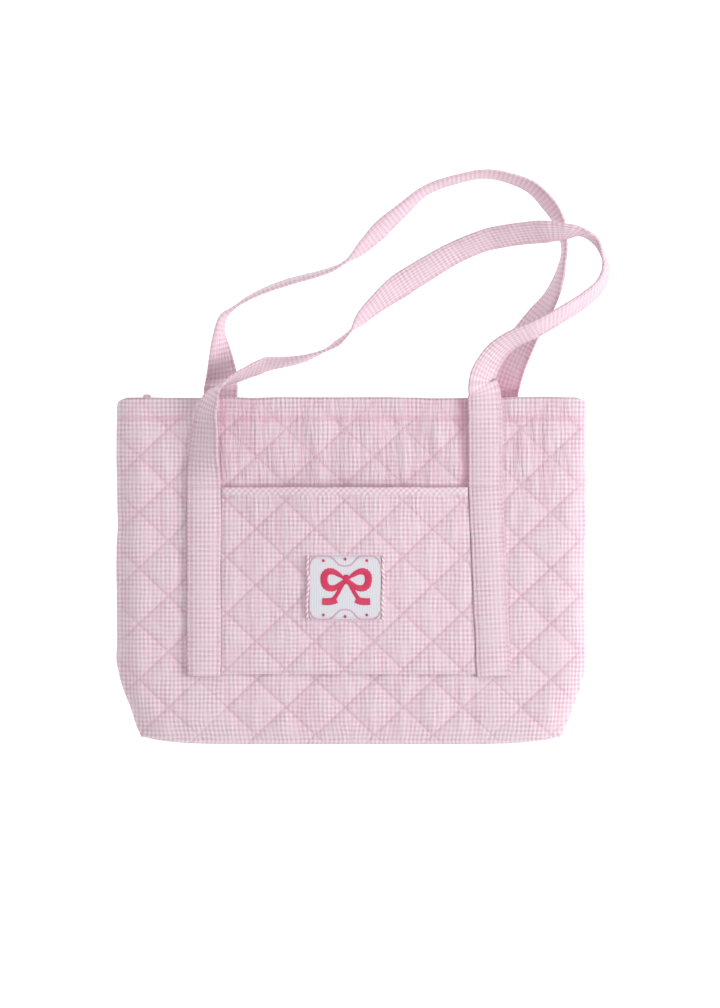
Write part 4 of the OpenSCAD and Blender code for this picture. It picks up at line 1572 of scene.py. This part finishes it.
@dataclass
class Patch:
    """The pleated patch on the pocket, with its cords, bow and waved border."""

    form: BagForm
    bow_at: tuple[float, float] = (-5.0, 161.0)

    def base(self, x: Array, y: Array) -> Array:
        """Return the patch's face, without pleats."""
        return self.form.pocket(x, y) + self.form.gap + self.form.cloth

    def pleats(self, x: Array, y: Array) -> tuple[Array, Array]:
        """Return the height of the pleats and the painted shade in their valleys."""
        px, py, _, ph = self.form.patch
        sway = Ripple(101, 9, 16).at(x, y) * 0.9 + Ripple(102, 26, 30).at(x, y) * 0.8
        phase = (x - px + sway) / 2.35
        part = phase - np.floor(phase)
        ridge = np.sin(math.pi * part) ** 0.8
        size = 0.55 + 0.35 * Ripple(103, 2.35, 24).at(x, y)
        calm = ease((ph / 2 - np.abs(y - py)) / 5) * 0.75 + 0.25
        # The second value is painted shade, deepest in the pleats' valleys.
        return (ridge - 0.6) * size * calm * 0.34, (1 - ridge) * 0.2

    def cloth(self) -> Mesh:
        """Return the pleated cloth with rounded corners."""
        f = self.form
        px, py, pw, ph = f.patch
        s, t = np.meshgrid(np.linspace(-1, 1, 176), np.linspace(-1, 1, 128))
        y = py + t * ph / 2
        corner = 5.0
        over = np.clip(np.abs(t) * ph / 2 - (ph / 2 - corner), 0, corner)
        half = pw / 2 - corner + np.sqrt(np.maximum(corner**2 - over**2, 0))
        x = px + s * half
        height, painted_shade = self.pleats(x, y)
        edge = round_in(np.minimum(half * (1 - np.abs(s)), ph / 2 * (1 - np.abs(t))), 1.6)
        seam = 0.45 * np.exp(-(((ph / 2 - 2.6 - np.abs(y - py)) / 0.8) ** 2))
        base = f.pocket(x, y) + f.gap
        top = base + (f.cloth + height + 0.55 - seam) * edge + 0.1
        # Painted shade in the pleats, weaker at the rolled edge, and along the seam's groove.
        painted_shade = painted_shade * (0.4 + 0.6 * edge) + seam * 0.5
        uv = np.stack([x, y], -1) * MM
        return shell(f.points(x, y, top), f.points(x, y, base), uv, painted_shade)

    def crowned(self, path: Array, width: Array, height: float) -> Mesh:
        """Return a raised satin-stitched strip along a path.

        Args:
            path: points on the patch.
            width: width at each point.
            height: height of its crown.
        """
        f = self.form
        along = unit(np.gradient(path, axis=0))
        left = np.column_stack([-along[:, 1], along[:, 0]])
        run = np.concatenate([[0], np.cumsum(np.linalg.norm(np.diff(path, axis=0), axis=1))])
        width = width + 0.5 * np.sign(np.sin(run * math.tau / 2.1)) * (width > 3)
        u = np.linspace(-1, 1, 11)
        place = path[:, None] - left[:, None] * (u[:, None] * width[:, None, None] / 2)
        x, y = place[..., 0], place[..., 1]
        ground = self.base(x, y) + 0.62
        crown = height * np.sqrt(np.maximum(1 - u**4, 0.0))
        top, low = f.points(x, y, ground + 0.15 + crown), f.points(x, y, ground - 0.25 + 0 * x)
        uv = np.stack([0 * x + u * 2, 0 * x + run[:, None]], -1) * MM
        return shell(top, low, uv, np.zeros(x.shape))

    def spread_path(self, spots: Sequence[tuple[float, float]], side: int) -> Array:
        """Return an even curve through spots beside the knot, mirrored to a side."""
        curve = curve_through(np.array(spots, float), 8)
        path = evenly(np.column_stack([curve, 0 * curve[:, 0]]), 0.4)[:, :2]
        return path * np.array([side, 1.0]) + np.array(self.bow_at)

    def strips(self) -> tuple[list[Mesh], list[Mesh]]:
        """Return the crimson and the rose strips."""
        px, py, pw, ph = self.form.patch
        bx, by = self.bow_at
        crimson, rose = [], []
        for side in (-1, 1):
            upper = [(1.5, 0.8), (6.5, 4.4), (12.5, 7.6), (18.2, 7.4), (21.2, 3.4)]
            lower = [(21.0, -3.4), (17.6, -7.8), (11.5, -8.2), (6, -4.4), (1.5, -0.6)]
            path = self.spread_path(upper + lower, side)
            t = np.linspace(0, 1, len(path))
            crimson.append(self.crowned(path, 2.2 + 4.9 * np.sin(math.pi * t) ** 0.9, 0.45))
            tail = [(2.0, -1.5), (5.4, -8), (9.0, -14.5), (12.5, -19.4)]
            path = self.spread_path(tail, side)
            t = np.linspace(0, 1, len(path))
            crimson.append(self.crowned(path, 4.6 - 0.8 * np.sin(math.pi * t), 0.42))
            foot = [(9.4, -19.4), (13, -20.8), (18.4, -21.4), (23.2, -21.2)]
            path = self.spread_path(foot, side)
            crimson.append(self.crowned(path, np.full(len(path), 6.8), 0.45))
        knot = np.column_stack([np.full(14, bx), np.linspace(by - 4.2, by + 4.6, 14)])
        crimson.append(self.crowned(knot, 6.4 * np.sin(np.linspace(0.35, math.pi - 0.35, 14)) ** 0.5, 0.75))
        x = np.linspace(px - pw / 2 + 1.6, px + pw / 2 - 1.6, 260)
        for sign in (1, -1):
            corner = 7.5
            over = np.clip(np.abs(x - px) - (pw / 2 - 1.6 - corner), 0, corner)
            drop = corner - np.sqrt(np.maximum(corner**2 - over**2, 0))
            scallop = 9.5 * np.exp(-(((x - px) / 11.0) ** 4)) * (0.86 + 0.14 * np.cos((x - px) / 5))
            wave = py + sign * (ph / 2 - 1.0 - drop - scallop)
            path = evenly(np.column_stack([x, wave, 0 * x]), 0.5)[:, :2]
            rose.append(self.crowned(path, np.full(len(path), 1.1), 0.35))
            for k in (-1, 0, 1):
                dot = np.array([px + k * pw * 0.3, py + sign * (ph / 2 - 5.2 + 1.4 * (1 - abs(k)))])
                path = dot + np.column_stack([np.zeros(9), np.linspace(-1.3, 1.3, 9)])
                width = 2.7 * np.sin(np.linspace(0.3, math.pi - 0.3, 9)) ** 0.6
                crimson.append(self.crowned(path, width, 0.7))
        return crimson, rose

    def cord_line(self, turn: float, side: int) -> Array:
        """Return the line of one of the two cords twisted together beside the patch.

        Args:
            turn: where the cord starts on its twist, in radians.
            side: -1 for the left of the patch and 1 for the right.

        Returns:
            Points in metres of the row frame.
        """
        f = self.form
        px, py, pw, ph = f.patch
        y = np.linspace(py - ph / 2 + 1, py + ph / 2 - 1, 420)
        angle = turn + (y - py) * math.tau / 5.2 * side
        middle = px + side * (pw / 2 + 1.3)
        x = middle + 0.9 * Ripple(111, 8, 9).at(y, 0 * y + side) + 0.65 * np.cos(angle)
        return f.points(x, y, f.pocket(0 * y + middle, y) + 1.5 + 0.6 * np.sin(angle))

    def build(self) -> None:
        """Build the patch, its embroidery and its cords."""
        f = self.form
        px, py, pw, ph = f.patch
        cloth = self.cloth().to_object("pleated_patch", Finish.PATCH)
        declare(cloth, "bag", ["patch_cloth"])
        crimson, rose = self.strips()
        for name, node, meshes, finish in (
            ("bow_satin_stitch", "bow_embroidery", crimson, Finish.CRIMSON),
            ("wave_satin_stitch", "border_embroidery", rose, Finish.ROSE),
        ):
            piece = joined(meshes).to_object(name, finish)
            declare(piece, "bag", [node])
        for turn, name, finish in (
            (0.0, "patch_cord_white", Finish.PIPING_WHITE),
            (math.pi, "patch_cord_pink", Finish.PIPING_PINK),
        ):
            lines = [self.cord_line(turn, side) for side in (-1, 1)]
            made = REPEAT.along(name, lines, REPEAT.cord(), finish, {"Radius": 0.0008})
            declare(made, "bag", ["patch_piping"])
        rows = []
        for sign in (-1, 1):
            x = np.linspace(px - pw / 2 + 3, px + pw / 2 - 3, 120)
            y = 0 * x + py + sign * (ph / 2 - 1.0)
            rows.append(f.points(x, y, self.base(x, y) + 0.75))
        sizes = {"Pitch": 0.0026, "Length": 0.0022, "Width": 0.0007, "Height": 0.0006}
        made = REPEAT.along("patch_seam_stitches", rows, REPEAT.beads(), Finish.ROSE, sizes)
        declare(made, "bag", [])


def joined(meshes: Sequence[Mesh]) -> Mesh:
    """Return several meshes as one."""
    points, uvs, faces, painted_shade, count = [], [], [], [], 0
    for mesh in meshes:
        points.append(mesh.points)
        uvs.append(mesh.uvs)
        painted_shade.append(mesh.painted_shade)
        faces.extend(np.atleast_2d(group) + count for group in mesh.faces)
        count += len(mesh.points)
    return Mesh(np.concatenate(points), np.concatenate(uvs), faces, np.concatenate(painted_shade))


# --------------------------------------------------------------------------- mouth and zip


@dataclass
class Facing:
    """Cloth folded over a panel's top edge and down inside the mouth."""

    form: BagForm
    front: bool

    def build(self) -> None:
        """Build the folded strip."""
        f = self.form
        half = float(f.half_width(np.array(f.height))) - 9.5
        x = spread(0.0, half, f.roll, 3.0)
        top = f.panel_top + f.gap
        skin = f.skin(self.front, x, 0 * x + f.panel_top)
        outer = np.maximum(skin - 0.1, 0.9)
        inner = np.maximum(skin - 4.3 - 0.9, 0.1)
        sag = f.sag(x, 0 * x + f.panel_top)
        low = f.height - FACING_DROP
        sign = 1 if self.front else -1
        rings = []
        for at, high_z, low_z, down in zip(x, outer, inner, sag):
            step = min(0.8, (high_z - low_z) * 0.45)
            ring = [(f.height - 0.25, high_z), (top, high_z), (top, low_z + step), (low, low_z + step)]
            ring += [(low, low_z), (f.height - 0.4, low_z), (f.height, low_z + 0.3), (f.height, high_z - 0.5)]
            rings.append([(at, y + down, f.seam_z + sign * z) for y, z in ring])
        rings = np.array(rings)
        if not self.front:
            rings = rings[:, ::-1]
        run = np.cumsum(np.linalg.norm(np.diff(rings[0, :, 1:], axis=0, append=rings[0, :1, 1:]), axis=1))
        uv = np.stack([rings[..., 0], 0 * rings[..., 0] + run], -1) * MM
        name = "front" if self.front else "back"
        piece = loft(f.place(rings), uv).to_object(name + "_mouth_facing", Finish.GINGHAM)
        declare(piece, "bag", [name + "_facing"])
        name + "_quilted_cloth"


def rounded_box(name: str, low: Array, high: Array, radius: float, finish: Finish) -> bpy.types.Object:
    """Return a box with rounded edges.

    Args:
        name: name of the piece.
        low: its lowest corner, in metres.
        high: its highest corner.
        radius: radius of its edges, cut down where the box is thinner.
        finish: what it is made of.

    Returns:
        The finished object.
    """
    low, high = np.array(low), np.array(high)
    radius = min(radius, *(0.49 * (high - low)))
    turn = np.linspace(0, math.pi / 2, 7)
    signs = ((1, 1), (-1, 1), (-1, -1), (1, -1))
    rise, inset = radius * (1 - np.sin(turn)), radius * (1 - np.cos(turn))
    levels = [*zip(low[2] + rise[::-1], inset[::-1]), *zip(high[2] - rise, inset)]
    rings, uvs = [], []
    for z, drawn_in in levels:
        ring = []
        for quarter, (sx, sy) in enumerate(signs):
            middle_x = (high[0] if sx > 0 else low[0]) - sx * radius
            middle_y = (high[1] if sy > 0 else low[1]) - sy * radius
            angle = turn + quarter * math.pi / 2
            reach = radius - drawn_in
            x, y = middle_x + reach * np.cos(angle), middle_y + reach * np.sin(angle)
            ring.append(np.column_stack([x, y, np.full(len(turn), z)]))
        ring = np.concatenate(ring)
        run = np.cumsum(np.linalg.norm(np.diff(ring, axis=0, append=ring[:1]), axis=1))
        rings.append(ring)
        uvs.append(np.column_stack([run, np.full(len(run), z)]))
    return loft(np.array(rings), np.array(uvs)).to_object(name, finish)


@dataclass
class Zip:
    """The zip's soft pieces and teeth; its tails, slider and pull are the frame's own.

    Attributes:
        tab: length of what shows of an end tab, in metres.
    """

    tab: float = 0.008

    def half(self, side: str) -> None:
        """Build one moving half inside its frame nodes' boxes: tape and teeth."""
        low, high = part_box("zip_tape_" + side)
        tape = rounded_box(f"zip_{side}_tape", low, high, 0.00035, Finish.TAPE)
        declare(tape, f"zip_{side}_half", ["zip_tape_" + side])
        low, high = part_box("zip_teeth_" + side)
        x = np.linspace(low.x + 0.001, high.x - 0.001, 200)
        line = np.column_stack([x, np.full(200, (low.y + high.y) / 2), np.full(200, (low.z + high.z) / 2)])
        sizes = {"Pitch": 0.0021, "Length": 0.0017, "Width": high.y - low.y, "Height": high.z - low.z}
        teeth = REPEAT.along(f"zip_{side}_teeth", [line], REPEAT.beads(), Finish.TEETH, sizes)
        declare(teeth, f"zip_{side}_half", ["zip_teeth_" + side])

    def build(self) -> None:
        """Build both halves and both end tabs."""
        for side in ("front", "back"):
            self.half(side)
        for side in ("left", "right"):
            low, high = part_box("zip_tab_" + side)
            if side == "left":
                high.x = low.x + self.tab
            tab = rounded_box(f"zip_end_tab_{side}", low, high, 0.0026, Finish.GINGHAM)
            declare(tab, "bag", ["zip_tab_" + side])


def paint_frame(frame: dict[str, Any]) -> None:
    """Give the frame's own hard pieces, which are shown as they are, their materials."""
    for node, finish in (
        ("zip_tails", Finish.TEETH),
        ("zip_slider", Finish.ENAMEL),
        ("zip_pull", Finish.ENAMEL),
    ):
        mesh = frame["nodes"][node].data
        mesh.materials.clear()
        mesh.materials.append(finish.made())


# --------------------------------------------------------------------------- stage


@dataclass
class Studio:
    """Pale floor, soft light and the camera.

    Attributes:
        centre: the point of the floor that the camera looks at.
        tall: height of what it sees, in metres.
        away: the camera's height above the floor.
    """

    centre: tuple[float, float] = (-0.0035, -0.0452)
    tall: float = 0.980
    away: float = 4.0

    @staticmethod
    def light(name: str, place: tuple[float, float, float], size: float, power: float) -> bpy.types.Object:
        """Add a square area light that faces the bag.

        Args:
            name: the light's name.
            place: where it is, in metres.
            size: its side.
            power: in watts.
        """
        data = bpy.data.lights.new(name, "AREA")
        data.shape, data.size, data.energy = "SQUARE", size, power
        made = bpy.data.objects.new(name, data)
        made.location = place
        bpy.context.scene.collection.objects.link(made)
        aim = -made.location.copy()
        made.rotation_euler = aim.to_track_quat("-Z", "Y").to_euler()
        return made

    def build(self) -> None:
        """Set the floor, world, lights and camera."""
        scene = bpy.context.scene
        world = bpy.data.worlds.new("studio")
        world.use_nodes = True
        world.node_tree.nodes["Background"].inputs[0].default_value = (1.0, 1.0, 1.0, 1.0)
        world.node_tree.nodes["Background"].inputs[1].default_value = 0.63
        scene.world = world
        scene.view_settings.view_transform = "Standard"
        g = Graph("floor_white")
        floor_finish = g.finish(
            {
                "Base Color": (0.5, 0.5, 0.5, 1.0),
                "Roughness": 0.9,
                "Emission Color": (1.0, 1.0, 1.0, 1.0),
                "Emission Strength": 0.85,
            }
        )
        data = bpy.data.meshes.new("floor")
        r = 6.0
        corners = [(-r, -r), (r, -r), (r, r), (-r, r)]
        data.from_pydata([(x, y, -0.0004) for x, y in corners], [], [(0, 1, 2, 3)])
        data.materials.append(floor_finish)
        floor = bpy.data.objects.new("floor", data)
        scene.collection.objects.link(floor)
        key = self.light("key", (2.25, -0.45, 1.7), 1.4, 54.0)
        fill = self.light("fill", (-0.6, 2.2, 1.4), 1.6, 8.0)
        side = self.light("side", (-1.9, 0.3, 1.5), 1.8, 3.5)
        camera_data = bpy.data.cameras.new("camera")
        camera_data.sensor_width = 36.0
        camera_data.lens = 36.0 * (self.away - 0.02) / self.tall
        camera_data.clip_end = 50.0
        camera = bpy.data.objects.new("camera", camera_data)
        camera.location = (*self.centre, self.away)
        scene.collection.objects.link(camera)
        scene.camera = camera
        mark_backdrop(floor, key, fill, side)


def note_size(label: str, sizes: dict[str, Any]) -> None:
    """Add the visible object's bounds under a label."""
    sizes[label] = [[float(v) for v in corner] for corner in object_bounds()]


def main() -> None:
    """Build the bag's looks in order."""
    logging.basicConfig(level=logging.INFO, format="%(message)s")
    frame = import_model()
    sizes: dict[str, Any] = {}
    note_size("frame", sizes)
    form = BagForm.from_frame()
    for front in (True, False):
        panel = Panel(form, front, Softness(PANEL_QUILTING, 2.1, 0.55, 0.7, 11 if front else 21))
        panel.build()
        panel.dress()
        Facing(form, front).build()
    pocket = Pocket(form, Softness(POCKET_QUILTING, 1.8, 0.5, 0.45, 31))
    pocket.build()
    pocket.dress()
    webbing = Webbing(form.strap_w, form.strap_t)
    for side, route, left, right, seed in (
        ("front", front_route(form), upright(form.left_x), form.right_strap, 41),
        ("back", back_route(form), upright(form.back_left_x), upright(form.back_right_x), 51),
    ):
        Strap(form, webbing, side, route, left, right, seed).build()
    Patch(form).build()
    Zip().build()
    paint_frame(frame)
    Studio().build()
    note_size("looks", sizes)


if __name__ == "__main__":
    main()
